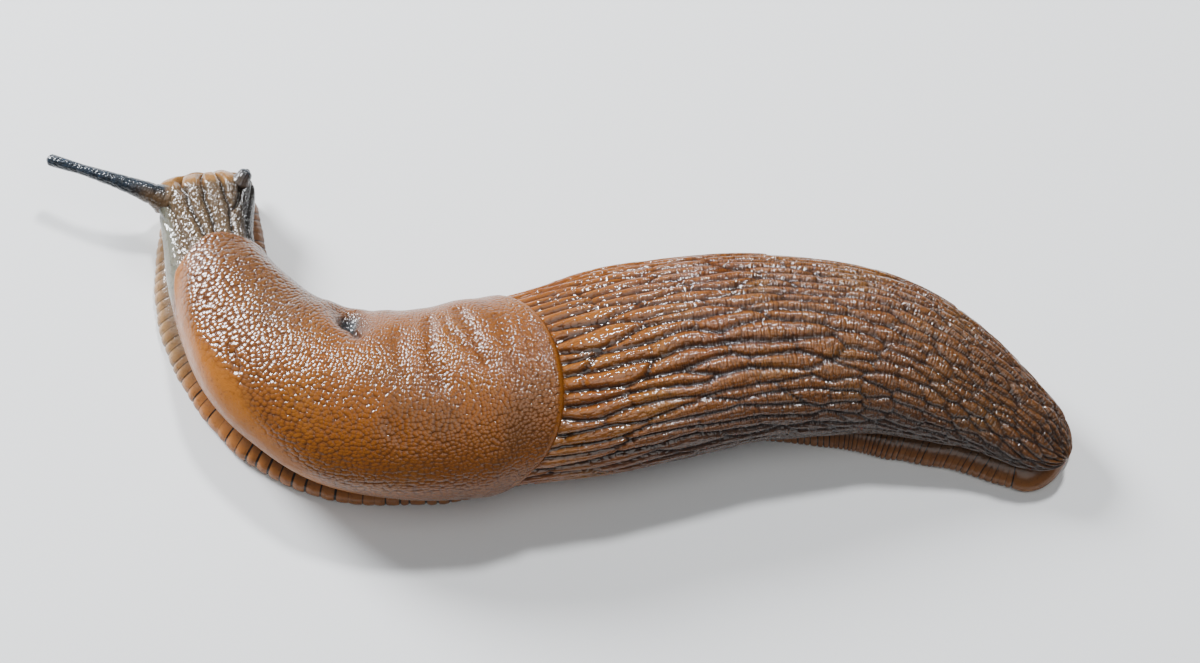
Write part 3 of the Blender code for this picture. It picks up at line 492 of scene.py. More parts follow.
def makeMantleShell():
    # The border is a rounded step, and inside it the lift grows to the crown.
    length = mantle["rear"] - mantle["front"]
    along = rimmed(length, mantle["step"]) / length
    middle = mantle["front"] + along * length
    radius = 0.97 * sizeAt(body["halfWidth"], middle) + mantle["crownLift"]
    leftWide = -mantleEdge(middle, -1) * radius
    rightWide = mantleEdge(middle, 1) * radius
    columns = int(round(float(np.max(leftWide + rightWide)) / mantle["step"]))
    across = rimmed(leftWide + rightWide, mantle["step"], columns) - leftWide[:, None]
    share = np.where(across < 0, across / leftWide[:, None], across / rightWide[:, None])
    front, rear = mantleEnds(np.abs(share))
    station = front + (rear - front) * along[:, None]
    angle = np.abs(share) * mantleEdge(station, share)
    fromSide = np.minimum(across + leftWide[:, None], rightWide[:, None] - across)
    fromEnd = np.minimum(along, 1.0 - along)[:, None] * length
    border = np.minimum(fromSide, fromEnd)

    sideways = arcSideways(station, angle)
    smoothSide = np.radians(sizeAt(mantle["smoothEdge"], station))
    grainy = smoothStep((angle - smoothSide) * radius[:, None], -1.0, 2.2) * smoothStep(border, 0.25, 0.7)

    lift = mantle["rimLift"] + (mantle["crownLift"] - mantle["rimLift"]) * smoothStep(border, 0.3, 6.0)
    edge = np.clip(border / mantle["rimWidth"], 0.0, 1.0)
    slim, slimHigh, slimLow, *slimStations = mantle["slim"]
    flat = smoothStep(-angle, math.radians(slimHigh), math.radians(slimLow))
    flat = flat * smoothStep(station, *slimStations[:2]) * (1.0 - smoothStep(station, *slimStations[2:]))
    lift = lift - slim * flat
    lift = lift * np.sqrt(1.0 - (1.0 - edge) ** 2) - 0.35 * (1.0 - smoothStep(edge, 0.0, 0.2))
    for number, (size, height) in enumerate(mantle["lumps"]):
        lift = lift + height * waves(sideways / size, station / size, 8 + number) * smoothStep(border, 1.0, 4.0)
    crease = np.zeros(station.shape)
    wobble = 0.5 * waves(station / 2, sideways / 2, 9)
    for path, width, depth in mantle["folds"]:
        crease = crease + depth * np.exp(-(fromPath(station + wobble, sideways, path) / width) ** 2)
    lift = lift - crease
    pore = mantle["pore"]
    poreAlong = (station - pore["place"][0]) / pore["dimple"][0]
    poreAcross = (sideways - arcSideways(pore["place"][0], math.radians(pore["place"][1]))) / pore["dimple"][1]
    dimple = np.exp(-(poreAlong ** 2 + poreAcross ** 2) ** 1.5)
    valley = np.exp(-(fromPath(station, sideways, pore["valley"]) / pore["valleyWidth"]) ** 2)
    slit = np.exp(-(fromPath(station, sideways, pore["crease"]) / pore["creaseWidth"]) ** 2)
    shade = np.exp(-(fromPath(station, sideways, pore["shade"]) / pore["shadeWidth"]) ** 2)
    lift = lift - pore["valleyDepth"] * valley - pore["dimpleDepth"] * dimple - pore["creaseDepth"] * slit
    points = fleshSurface(station, angle) + fleshNormal(station, angle) * lift[..., None]

    # The hidden lower side runs in to a line inside the body, which closes the shell.
    core = placed(station[:, :1], 0.0 * station[:, :1], 0.5 * sizeAt(body["height"], station[:, :1]))
    points = np.concatenate((core, points, core), axis=1)
    points = np.concatenate((points[:1] * 0 + core[1], points, points[:1] * 0 + core[-2]), axis=0)

    def widened(values):
        return np.pad(values, 1, mode="edge")

    station, sideways = widened(station), widened(sideways)
    size = sizeAt(mantle["granule"], station)
    line = np.linspace(0.0, bodyLength, 600)
    walked = np.cumsum(1.0 / sizeAt(mantle["granule"], line)) * (line[1] - line[0])
    values = {
        "grainy": widened(grainy),
        # hollow darkens the folds, the pore's crease and a patch beside it: painted shade.
        "hollow": widened(np.clip(crease * 1.3 + slit + 0.6 * shade, 0.0, 1.0)),
        # pore paints the opening and the valley leading in dark grey: painted shade in the hole.
        "pore": widened(np.clip(0.35 * valley ** 2 + dimple, 0.0, 1.0)),
        # rim darkens the mantle's border step: painted shade along the edge.
        "rim": widened(1.0 - smoothStep(border, 0.1, 0.6)),
        "margin": 1.0 - widened(grainy),
        "rear": smoothStep(station, 20.0, 42.0),
        # brown darkens the front right of the mantle: painted shade.
        "brown": widened(smoothStep(angle, math.radians(-30), math.radians(22)) * (1.0 - smoothStep(station[1:-1, 1:-1], 24.0, 34.0))),
    }
    lay = np.stack((np.interp(station, line, walked), sideways / size), axis=-1)
    sheet = np.stack((station - mantle["front"] + 1.0, sideways + 112.0), axis=-1)
    addShell(points, "mantle", lay, sheet, **values)
    print("mantle shell", points.shape)


makeMantleShell()


foot = {
    "left": (
        (0, 5.2), (6, 6.8), (10, 7.9), (14, 8.9), (20, 9.6), (26, 9.9), (34, 10.0), (44, 9.1),
        (54, 8.2), (80, 8.4), (90, 9.8), (100, 9.9), (110, 7.6), (120, 4.4),
    ),
    "right": (
        (0, 5.2), (6, 5.4), (14, 5.2), (24, 5.8), (34, 7.2), (44, 7.8), (54, 8.2), (80, 8.4),
        (100, 7.4), (110, 5.9), (120, 4.0),
    ),
    "front": 0.5,
    "round": 3.2,
    "roundPower": 2.5,
    "lineRows": (-0.5, -0.17, 0.0, 0.17),  # places of the rows round each cross line, in pitches
    "lineCuts": (-0.5, -0.1, 1.0, -0.1),  # how far each row is cut in, and pushed out where less than 0
    # From the sole's edge over the fringe: inset from its outer edge, height and share of the line grooves.
    "profile": (
        (0.8, 0.0, 0.0), (0.3, 0.06, 0.3), (0.03, 0.4, 1.0), (0.02, 0.8, 1.0), (0.22, 1.25, 1.0),
        (0.6, 1.65, 1.0), (1.1, 1.95, 0.7), (1.6, 2.15, 0.0),
    ),
    "linePitch": ((0, 1.05), (50, 1.05), (85, 0.84), (110, 0.74), (120, 0.7)),
    "lineDepth": 0.19,
    "lineShift": 0.26,  # how unevenly the lines are set, in pitches
}


def lineCount():
    # Running number of the fringe's cross lines at places along the body, a pitch apart.
    line = np.linspace(0.0, bodyLength, 1200)
    return line, np.cumsum(1.0 / sizeAt(foot["linePitch"], line)) * (line[1] - line[0])


def footShare(station):
    front = np.clip(1.0 - (station - foot["front"]) / foot["round"], 0.0, 1.0)
    rear = np.clip(1.0 - (bodyLength - station) / foot["round"], 0.0, 1.0)
    power = foot["roundPower"]
    return ((1.0 - front ** power) * (1.0 - rear ** power)) ** (1.0 / power)


def makeFootShell():
    turn = np.radians(np.linspace(0.0, 90.0, 16))
    front = foot["front"] + foot["round"] * (1.0 - np.cos(turn))
    rear = bodyLength - foot["round"] * (1.0 - np.cos(turn[::-1]))
    line, walked = lineCount()
    numbers = np.arange(1.0, walked[-1])
    places = numbers + foot["lineShift"] * (hashed(numbers, 0.0, 61) - 0.5)
    rows = np.interp((places[:, None] + np.array(foot["lineRows"])).ravel(), walked, line)
    cuts = np.tile(foot["lineCuts"], len(numbers)) * (0.35 + 0.65 * hashed(np.repeat(numbers, 4), 1.0, 61))
    inside = (rows > front[-1] + 0.1) & (rows < rear[0] - 0.1)
    stations = np.concatenate((front, rows[inside], rear))
    cut = np.concatenate((0.0 * front, cuts[inside], 0.0 * rear))
    count = np.interp(stations, line, walked)
    share = footShare(stations)
    nearFront = np.clip(1.0 - (stations - foot["front"]) / (2 * foot["round"]), 0.0, 1.0)
    nearRear = np.clip(1.0 - (bodyLength - stations) / (2 * foot["round"]), 0.0, 1.0)
    flank = body["undersideShare"] * sizeAt(body["halfWidth"], stations)
    lean = sizeAt(body["lean"], stations)
    edge = 0.12 * waves(stations / 2.2, 0.0 * stations, 63) + 0.1 * waves(stations / 6.0, 0.0 * stations, 64)

    sides = []
    for side, table in ((-1, foot["left"]), (1, foot["right"])):
        outer = sizeAt(table, stations) + edge * smoothStep(stations, 3.0, 8.0)
        rows = [(0.45 * outer * share, 0.0 * stations, 1.6 * (nearFront - nearRear))]
        for inset, height, cutShare in foot["profile"]:
            reach = share * np.maximum(outer - inset, 0.0) - cutShare * foot["lineDepth"] * cut * share
            rows.append((reach, height + 0.0 * stations, inset * (nearFront - nearRear)))
        inner = share * np.minimum(0.93 * (flank - side * lean), outer - 2.2)
        rows.append((inner, 2.4 + 0.0 * stations, 2.2 * (nearFront - nearRear)))
        rows.append((0.5 * inner, 2.7 + 0.0 * stations, 2.2 * (nearFront - nearRear)))
        sides.append([(side * reach, height, moved) for reach, height, moved in rows])
    ring = sides[1] + sides[0][::-1] + sides[1][:1]
    sideways = np.stack([column[0] for column in ring], axis=1)
    height = np.stack([column[1] for column in ring], axis=1)
    station = np.stack([stations + column[2] for column in ring], axis=1)
    points = placed(station, sideways, height)
    columns = points.shape[1]
    plain = np.repeat(stations[:, None], columns, axis=1)
    around = np.concatenate(([0.0], np.cumsum(np.median(np.linalg.norm(np.diff(points, axis=1), axis=-1), axis=0))))
    around = np.repeat(around[None], len(stations), axis=0)
    onFringe = smoothStep(height, 0.02, 0.3) * (1.0 - smoothStep(height, 2.2, 2.4))
    lay = np.stack((np.repeat(count[:, None], columns, axis=1), around), axis=-1)
    sheet = np.stack((plain, 56.0 + around / around.max() * 27.0), axis=-1)
    left = smoothStep(-sideways, -2.5, 1.0)
    pale = left * (1.0 - smoothStep(plain, 17.0, 25.0)) + (1.0 - left) * 0.15 * (1.0 - smoothStep(plain, 10.0, 20.0))
    values = {
        "groove": np.repeat(cut[:, None], columns, axis=1) * onFringe,
        "fringe": onFringe,
        "pale": pale,
        # top darkens the fringe's top, tucked under the body: painted shade.
        "top": smoothStep(height, 1.5, 2.2),
        "rear": smoothStep(plain, 20.0, 60.0),
        # The right front of the foot darkened: painted shade.
        "dark": (1.0 - left) * (1.0 - smoothStep(plain, 14.0, 30.0)) * 0.7,
    }
    addShell(points, "foot", lay, sheet, **values)
    print("foot shell", points.shape)


makeFootShell()


feelers = {
    "rings": 84,
    "sides": 26,
    "bend": 0.35,
    "upperLeft": {
        "root": (2.8, -68), "reach": (-12.9, 4.1, 1.65), "node": "tentacle_upper_left",
        "radii": (1.6, 1.38, 1.22, 1.08, 0.96, 0.86, 0.77, 0.68, 0.62, 0.68, 0.72),
    },
    "upperRight": {
        "root": (1.8, 54), "reach": (0.45, 0.7, 0.3), "node": "tentacle_upper_right",
        "radii": (1.3, 1.12, 1.02, 0.96, 0.92, 0.9, 0.88, 0.86, 0.86, 0.86, 0.8),
    },
    "lowerLeft": {
        "root": (0.8, -118), "reach": (-0.35, 1.1, -0.8), "node": "tentacle_lower_left",
        "radii": (0.75, 0.62, 0.56, 0.52, 0.5, 0.5, 0.52, 0.55, 0.55, 0.52, 0.46),
    },
    "lowerRight": {
        "root": (0.8, 118), "reach": (0.35, 1.1, -0.8), "node": "tentacle_lower_right",
        "radii": (0.75, 0.62, 0.56, 0.52, 0.5, 0.5, 0.52, 0.55, 0.55, 0.52, 0.46),
    },
    "wrinkle": 0.035,
    "flare": 0.16,  # share by which the root widens where it leaves the head
    "flareLength": 0.6,
    "sunk": 1.3,  # how deep the root starts inside the head
}


def makeFeelerShell(number, feeler, rings):
    # A round tube along a curve that leaves the head square to its skin. The tip closes in a dome.
    station, degrees = feeler["root"]
    station, angle = np.array(float(station)), np.array(math.radians(degrees))
    root = fleshSurface(station, angle)
    normal = fleshNormal(station, angle)
    reach = np.array(feeler["reach"])
    middle = root + normal * np.linalg.norm(reach) * feelers["bend"]
    tip = root + reach
    length = np.linalg.norm(reach)
    radii = np.array(feeler["radii"])
    endRadius = radii[-1]

    # Along the tube: first inside the head, then along the curve, then over the dome.
    sunk = np.linspace(-feelers["sunk"], 0.0, 5)[:-1]
    part = np.linspace(0.0, 1.0, rings)
    dome = np.radians(np.linspace(0.0, 90.0, 10))[1:]
    place = ((1 - part) ** 2)[:, None] * root + (2 * part * (1 - part))[:, None] * middle + (part ** 2)[:, None] * tip
    heading = (1 - part)[:, None] * (middle - root) + part[:, None] * (tip - middle)
    heading = heading / np.linalg.norm(heading, axis=1, keepdims=True)
    radius = smoothCurve(np.linspace(0.0, 1.0, len(radii)), radii, part)
    beginnings = root + sunk[:, None] * normal
    endings = tip + heading[-1] * (endRadius * 0.62 * np.sin(dome))[:, None]
    centres = np.concatenate((beginnings, place, endings))
    headings = np.concatenate((np.repeat(heading[:1], len(sunk), axis=0), heading, np.repeat(heading[-1:], len(dome), axis=0)))
    radius = np.concatenate((radius[0] * (1.0 + 0.2 * sunk), radius, endRadius * np.cos(dome)))
    radius[0] = 0.0
    walked = np.concatenate((sunk, part * length, length + endRadius * 0.62 * np.sin(dome)))
    rings = len(centres)

    side = np.cross(headings, np.array((0.0, 0.0, 1.0)))
    side = side / np.linalg.norm(side, axis=1, keepdims=True)
    other = np.cross(side, headings)
    turn = np.linspace(0.0, 2 * math.pi, feelers["sides"] + 1)
    walkedGrid, turnGrid = np.meshgrid(walked, turn, indexing="ij")
    round1 = np.cos(turnGrid)
    round2 = np.sin(turnGrid)
    wrinkle = waves(walkedGrid / 0.35, 3.0 * np.cos(turnGrid), 71 + number)
    wrinkle = wrinkle * (1.0 - smoothStep(walkedGrid, 0.75 * length, 0.9 * length)) * smoothStep(walkedGrid, 0.2, 1.0)
    folds = 0.12 * np.exp(-((walkedGrid - 0.12 * length - 0.3) / 0.22) ** 2) * (length > 5)
    flare = feelers["flare"] * np.exp(-np.maximum(walkedGrid, 0.0) / feelers["flareLength"]) * (length > 5)
    size = radius[:, None] * (1.0 + feelers["wrinkle"] * wrinkle + flare) - folds * (radius[:, None] > 0.1)
    offset = side[:, None, :] * round1[..., None] + other[:, None, :] * round2[..., None]
    points = centres[:, None, :] + offset * size[..., None]
    rootShare = 1.0 - smoothStep(walkedGrid, 0.1 * length, 0.4 * length + 0.3)
    rootShare = rootShare * smoothStep(-round1, -0.3, 0.7)
    # The right feeler's root keeps less brown, since it lies on the shaded right side: painted shade.
    rootShare = np.maximum(rootShare, 1.0 - smoothStep(walkedGrid, 0.3, 1.2)) * (0.35 if number == 1 else 1.0)
    lay = np.stack((walkedGrid, turnGrid * 0.8), axis=-1)
    sheet = np.stack((58.0 + walkedGrid + 3.0, 86.0 + number * 7.0 + turnGrid / (2 * math.pi) * 6.0), axis=-1)
    # groove darkens the wrinkles: painted shade in them.
    addShell(points, "feeler", lay, sheet, groove=np.clip(-wrinkle, 0.0, 1.0) * 0.6, root=rootShare)
    feeler["tip"], feeler["heading"] = tip, heading[-1]
    print("feeler shell", feeler["node"], (rings, len(turn)))


makeFeelerShell(0, feelers["upperLeft"], feelers["rings"])
makeFeelerShell(1, feelers["upperRight"], 22)
makeFeelerShell(2, feelers["lowerLeft"], 16)
makeFeelerShell(3, feelers["lowerRight"], 16)


def newNode(tree, kind, settings=None, **inputs):
    made = tree.nodes.new(kind)
    for name, value in (settings or {}).items():
        setattr(made, name, value)
    for name, value in inputs.items():
        made.inputs[name.replace("_", " ")].default_value = value
    return made


def attributeValue(tree, name):
    return newNode(tree, "ShaderNodeAttribute", {"attribute_name": name}).outputs["Fac"]


def mathNode(tree, operation, first, second):
    made = newNode(tree, "ShaderNodeMath", {"operation": operation})
    for socket, value in zip(made.inputs, (first, second)):
        if isinstance(value, (int, float)):
            socket.default_value = value
        else:
            tree.links.new(value, socket)
    return made.outputs[0]


def mixColour(tree, share, first, second, blend="MIX"):
    made = newNode(tree, "ShaderNodeMix", {"data_type": "RGBA", "blend_type": blend})
    for socket, value in ((made.inputs[0], share), (made.inputs[6], first), (made.inputs[7], second)):
        if isinstance(value, (int, float)):
            socket.default_value = value
        elif isinstance(value, tuple):
            socket.default_value = (*value, 1.0)
        else:
            tree.links.new(value, socket)
    return made.outputs[2]


def stretched(tree, value, low, high, newLow=0.0, newHigh=1.0):
    made = newNode(tree, "ShaderNodeMapRange", {"interpolation_type": "SMOOTHSTEP"})
    tree.links.new(value, made.inputs["Value"])
    for name, number in (("From Min", low), ("From Max", high), ("To Min", newLow), ("To Max", newHigh)):
        made.inputs[name].default_value = number
    return made.outputs["Result"]


def layPlace(tree, stretchAlong, stretchAcross):
    # Place on the skin, in units of a pattern's size along and across.
    place = newNode(tree, "ShaderNodeUVMap", {"uv_map": "lay"})
    mapping = newNode(tree, "ShaderNodeMapping")
    mapping.inputs["Scale"].default_value = (stretchAlong, stretchAcross, 1.0)
    tree.links.new(place.outputs[0], mapping.inputs["Vector"])
    return mapping.outputs[0]


def objectNoise(tree, size, detail=2.0, roughness=0.5):
    # Noise in the air round the object, with patches of a size in millimetres.
    place = newNode(tree, "ShaderNodeTexCoord")
    noise = newNode(tree, "ShaderNodeTexNoise", Scale=1.0 / (size * millimetre), Detail=detail, Roughness=roughness)
    tree.links.new(place.outputs["Object"], noise.inputs["Vector"])
    return noise.outputs["Fac"]


def layCells(tree, along, across, randomness=1.0):
    # Distance from the middle of the nearest cell, in cells of a size along and across the skin.
    kind = {"feature": "F1", "voronoi_dimensions": "2D"}
    cellNode = newNode(tree, "ShaderNodeTexVoronoi", kind, Scale=1.0, Randomness=randomness)
    tree.links.new(layPlace(tree, 1.0 / along, 1.0 / across), cellNode.inputs["Vector"])
    return cellNode.outputs["Distance"]


def domed(tree, distance):
    # Height of a round bump over its middle distance: 1 less the square of the distance, times 2.4.
    square = mathNode(tree, "MULTIPLY", distance, distance)
    return mathNode(tree, "SUBTRACT", 1.0, mathNode(tree, "MULTIPLY", square, 2.4))


def bumped(tree, height, depth, before=None, strength=1.0):
    made = newNode(tree, "ShaderNodeBump", Strength=strength, Distance=depth * millimetre)
    tree.links.new(height, made.inputs["Height"])
    if before is not None:
        tree.links.new(before, made.inputs["Normal"])
    return made.outputs[0]


def giveNormal(tree, shader, normal):
    # The wet film follows the same fine relief as the skin under it.
    tree.links.new(normal, shader.inputs["Normal"])
    tree.links.new(normal, shader.inputs["Coat Normal"])


def wetSkin(name, look):
    # A soft body under a thin wet film. Returns the material, its tree and its shader.
    material = bpy.data.materials.new(name)
    material.use_nodes = True
    tree = material.node_tree
    shader = tree.nodes["Principled BSDF"]
    shader.inputs["Subsurface Weight"].default_value = look["softness"]
    shader.inputs["Subsurface Radius"].default_value = (1.0, 0.35, 0.15)
    shader.inputs["Subsurface Scale"].default_value = look["softDepth"] * millimetre
    shader.inputs["Coat Weight"].default_value = look["film"]
    shader.inputs["Coat Roughness"].default_value = look["filmRoughness"]
    shader.inputs["Coat IOR"].default_value = 1.5
    shader.inputs["Specular IOR Level"].default_value = look["shine"]
    return material, tree, shader


backLook = {
    "softness": 0.1, "softDepth": 0.6, "film": 1.0, "filmRoughness": 0.1, "shine": 0.08,
    "crest": (0.220, 0.070, 0.009), "flank": (0.095, 0.029, 0.004), "groove": (0.018, 0.007, 0.003),
    "golden": (0.25, 0.100, 0.011), "reddish": (0.14, 0.035, 0.004), "tail": (0.068, 0.029, 0.008),
    "neck": (0.088, 0.055, 0.027), "neckGroove": (0.012, 0.009, 0.007), "pale": (0.14, 0.133, 0.098),
    "band": (0.22, 0.105, 0.028), "dark": (0.014, 0.011, 0.008), "roughness": (0.3, 0.5),
    "ribs": (0.25, 1.0), "ribDepth": 0.028, "grains": (0.7, 0.5), "grainDepth": 0.035,
    "beads": (0.42, 0.36), "beadDepth": 0.04,
}


def makeBackMaterial():
    look = backLook
    material, tree, shader = wetSkin("backSkin", look)
    link = tree.links.new
    groove = attributeValue(tree, "groove")
    ribs = layCells(tree, *look["ribs"])
    grains = layCells(tree, *look["grains"])
    patches = objectNoise(tree, 7.0)
    specks = objectNoise(tree, 0.5, 3.0)
    # Crests lighter and ridge flanks darker by the groove value: painted shade.
    colour = mixColour(tree, stretched(tree, groove, 0.08, 0.55), look["crest"], look["flank"])
    colour = mixColour(tree, stretched(tree, patches, 0.5, 0.72, 0.0, 0.6), colour, look["golden"])
    colour = mixColour(tree, stretched(tree, patches, 0.5, 0.3, 0.0, 0.55), colour, look["reddish"])
    colour = mixColour(tree, mathNode(tree, "MULTIPLY", attributeValue(tree, "rear"), 0.7), colour, look["tail"])
    colour = mixColour(tree, attributeValue(tree, "shade"), colour, look["groove"])
    # The pale grey on the neck's left flank is a painted reflection of the sky.
    neckColour = mixColour(tree, attributeValue(tree, "pale"), look["neck"], look["pale"])
    neckColour = mixColour(tree, attributeValue(tree, "band"), neckColour, look["band"])
    colour = mixColour(tree, attributeValue(tree, "neck"), colour, neckColour)
    colour = mixColour(tree, stretched(tree, specks, 0.55, 0.72, 0.0, 0.45), colour, look["groove"])
    onTrunk = mathNode(tree, "SUBTRACT", 1.0, attributeValue(tree, "neck"))
    ribShade = mathNode(tree, "MULTIPLY", stretched(tree, ribs, 0.3, 0.7, 0.0, 0.5), attributeValue(tree, "ribs"))
    colour = mixColour(tree, ribShade, colour, look["groove"])
    grainShade = mathNode(tree, "MULTIPLY", stretched(tree, grains, 0.4, 0.75, 0.0, 0.15), onTrunk)
    colour = mixColour(tree, grainShade, colour, look["groove"])
    # The deepest grooves and furrows painted near black: painted shade.
    deep = mixColour(tree, attributeValue(tree, "neck"), look["groove"], look["neckGroove"])
    colour = mixColour(tree, stretched(tree, groove, 0.35, 1.1), colour, deep)
    # The right side of the head painted dark: painted shade.
    colour = mixColour(tree, attributeValue(tree, "dark"), colour, look["dark"])
    link(colour, shader.inputs["Base Color"])
    link(stretched(tree, objectNoise(tree, 1.2), 0.3, 0.7, *look["roughness"]), shader.inputs["Roughness"])
    ribHeight = mathNode(tree, "MULTIPLY", domed(tree, ribs), attributeValue(tree, "ribs"))
    normal = bumped(tree, ribHeight, look["ribDepth"])
    normal = bumped(tree, mathNode(tree, "MULTIPLY", domed(tree, grains), onTrunk), look["grainDepth"], normal)
    smooth = mathNode(tree, "MAXIMUM", attributeValue(tree, "band"), attributeValue(tree, "pale"))
    smooth = mathNode(tree, "MULTIPLY", smooth, 0.82)
    beaded = mathNode(tree, "MULTIPLY", attributeValue(tree, "neck"), mathNode(tree, "SUBTRACT", 1.0, smooth))
    beads = domed(tree, layCells(tree, *look["beads"]))
    normal = bumped(tree, mathNode(tree, "MULTIPLY", beads, beaded), look["beadDepth"], normal)
    giveNormal(tree, shader, bumped(tree, objectNoise(tree, 1.0, 1.0), 0.05, normal))
    return material


mantleLook = {
    "softness": 0.1, "softDepth": 0.6, "film": 1.0, "filmRoughness": 0.1, "shine": 0.08,
    "grain": (0.17, 0.055, 0.009), "between": (0.060, 0.018, 0.004), "rearGrain": (0.18, 0.055, 0.006),
    "margin": (0.34, 0.115, 0.015), "rim": (0.15, 0.045, 0.006), "hollow": (0.05, 0.014, 0.002),
    "pore": (0.022, 0.022, 0.022), "golden": (0.22, 0.078, 0.009), "brown": (0.098, 0.040, 0.011),
    "roughness": (0.3, 0.45), "granuleDepth": 0.06, "fineDepth": 0.006,
    "marginDry": 0.55, "rearDry": 0.3,  # shares by which the film is thinner there
}


def makeMantleMaterial():
    # The lay of this shell counts granules, so one unit of it is one granule.
    look = mantleLook
    material, tree, shader = wetSkin("mantleSkin", look)
    link = tree.links.new
    grainy = attributeValue(tree, "grainy")
    granule = layCells(tree, 1.0, 1.0, 0.85)
    fine = layCells(tree, 0.42, 0.42)
    patches = objectNoise(tree, 6.0)
    specks = objectNoise(tree, 0.4, 3.0)
    colour = mixColour(tree, attributeValue(tree, "rear"), look["grain"], look["rearGrain"])
    colour = mixColour(tree, stretched(tree, patches, 0.5, 0.75, 0.0, 0.5), colour, look["golden"])
    colour = mixColour(tree, stretched(tree, patches, 0.5, 0.3, 0.0, 0.5), colour, look["brown"])
    # The front right of the mantle painted darker brown: painted shade.
    colour = mixColour(tree, mathNode(tree, "MULTIPLY", attributeValue(tree, "brown"), 0.8), colour, look["brown"])
    colour = mixColour(tree, mathNode(tree, "MULTIPLY", attributeValue(tree, "margin"), 0.7), colour, look["margin"])
    colour = mixColour(tree, stretched(tree, specks, 0.55, 0.75, 0.0, 0.4), colour, look["between"])
    # Dark between the granules: painted shade in the gaps between them.
    betweenShare = mathNode(tree, "SUBTRACT", 0.8, mathNode(tree, "MULTIPLY", attributeValue(tree, "rear"), 0.3))
    between = mathNode(tree, "MULTIPLY", stretched(tree, granule, 0.25, 0.65), mathNode(tree, "MULTIPLY", grainy, betweenShare))
    colour = mixColour(tree, between, colour, look["between"])
    # The folds and the pore's crease painted dark: painted shade.
    colour = mixColour(tree, attributeValue(tree, "hollow"), colour, look["hollow"])
    # The mantle's border painted darker: painted shade along the edge.
    colour = mixColour(tree, attributeValue(tree, "rim"), colour, look["rim"])
    # The pore painted dark grey: painted shade in the opening.
    colour = mixColour(tree, attributeValue(tree, "pore"), colour, look["pore"])
    link(colour, shader.inputs["Base Color"])
    link(stretched(tree, objectNoise(tree, 1.2), 0.3, 0.7, *look["roughness"]), shader.inputs["Roughness"])
    dry = mathNode(tree, "MULTIPLY", attributeValue(tree, "margin"), look["marginDry"])
    dry = mathNode(tree, "ADD", dry, mathNode(tree, "MULTIPLY", attributeValue(tree, "rear"), look["rearDry"]))
    link(mathNode(tree, "SUBTRACT", look["film"], dry), shader.inputs["Coat Weight"])
    coarse = mathNode(tree, "MULTIPLY", domed(tree, granule), mathNode(tree, "ADD", mathNode(tree, "MULTIPLY", grainy, 0.9), 0.1))
    rearShare = mathNode(tree, "SUBTRACT", 1.0, mathNode(tree, "MULTIPLY", attributeValue(tree, "rear"), 0.3))
    normal = bumped(tree, mathNode(tree, "MULTIPLY", coarse, rearShare), look["granuleDepth"])
    normal = bumped(tree, domed(tree, fine), look["fineDepth"], normal)
    giveNormal(tree, shader, bumped(tree, objectNoise(tree, 1.6, 1.0), 0.06, normal))
    return material


footLook = {
    "softness": 0.12, "softDepth": 0.6, "film": 0.5, "filmRoughness": 0.09, "shine": 0.15,
    "fringe": (0.36, 0.135, 0.035), "rearFringe": (0.19, 0.075, 0.022), "pale": (0.30, 0.170, 0.072),
    "line": (0.010, 0.006, 0.004), "sole": (0.34, 0.26, 0.17), "top": (0.045, 0.018, 0.007),
    "dark": (0.026, 0.02, 0.016), "roughness": (0.3, 0.5),
}


def makeFootMaterial():
    look = footLook
    material, tree, shader = wetSkin("footSkin", look)
    link = tree.links.new
    groove = attributeValue(tree, "groove")
    specks = objectNoise(tree, 0.5, 3.0)
    colour = mixColour(tree, attributeValue(tree, "rear"), look["fringe"], look["rearFringe"])
    colour = mixColour(tree, attributeValue(tree, "pale"), colour, look["pale"])
    colour = mixColour(tree, attributeValue(tree, "fringe"), look["sole"], colour)
    # The fringe's top under the body painted dark: painted shade.
    colour = mixColour(tree, mathNode(tree, "MULTIPLY", attributeValue(tree, "top"), 0.55), colour, look["top"])
    colour = mixColour(tree, stretched(tree, specks, 0.52, 0.75, 0.0, 0.4), colour, look["top"])
    lineShare = mathNode(tree, "MULTIPLY", stretched(tree, groove, 0.2, 0.55),
                         mathNode(tree, "SUBTRACT", 1.0, mathNode(tree, "MULTIPLY", attributeValue(tree, "pale"), 0.4)))
    colour = mixColour(tree, lineShare, colour, look["line"])
    # The right front of the foot painted dark: painted shade.
    colour = mixColour(tree, attributeValue(tree, "dark"), colour, look["dark"])
    link(colour, shader.inputs["Base Color"])
    link(stretched(tree, objectNoise(tree, 1.0), 0.3, 0.7, *look["roughness"]), shader.inputs["Roughness"])
    giveNormal(tree, shader, bumped(tree, objectNoise(tree, 0.3, 3.0), 0.03))
    return material


feelerLook = {
    "softness": 0.1, "softDepth": 0.4, "film": 0.55, "filmRoughness": 0.08, "shine": 0.15,
    "skin": (0.02, 0.028, 0.038), "root": (0.13, 0.078, 0.038),
    "fold": (0.008, 0.01, 0.012), "roughness": (0.22, 0.4),
}


def makeFeelerMaterial():
    look = feelerLook
    material, tree, shader = wetSkin("feelerSkin", look)
    link = tree.links.new
    specks = objectNoise(tree, 0.45, 3.0)
    colour = mixColour(tree, stretched(tree, specks, 0.4, 0.7), look["skin"], look["fold"])
    colour = mixColour(tree, attributeValue(tree, "root"), colour, look["root"])
    # The wrinkles painted darker: painted shade.
    colour = mixColour(tree, attributeValue(tree, "groove"), colour, look["fold"])
    link(colour, shader.inputs["Base Color"])
    link(stretched(tree, objectNoise(tree, 0.8), 0.3, 0.7, *look["roughness"]), shader.inputs["Roughness"])
    normal = bumped(tree, domed(tree, layCells(tree, 0.38, 0.36, 0.8)), 0.045)
    giveNormal(tree, shader, bumped(tree, objectNoise(tree, 0.15, 2.0), 0.015, normal))
    return material


finishes = {
    "back": makeBackMaterial(),
    "mantle": makeMantleMaterial(),
    "foot": makeFootMaterial(),
    "feeler": makeFeelerMaterial(),
}
print("skin materials ready")


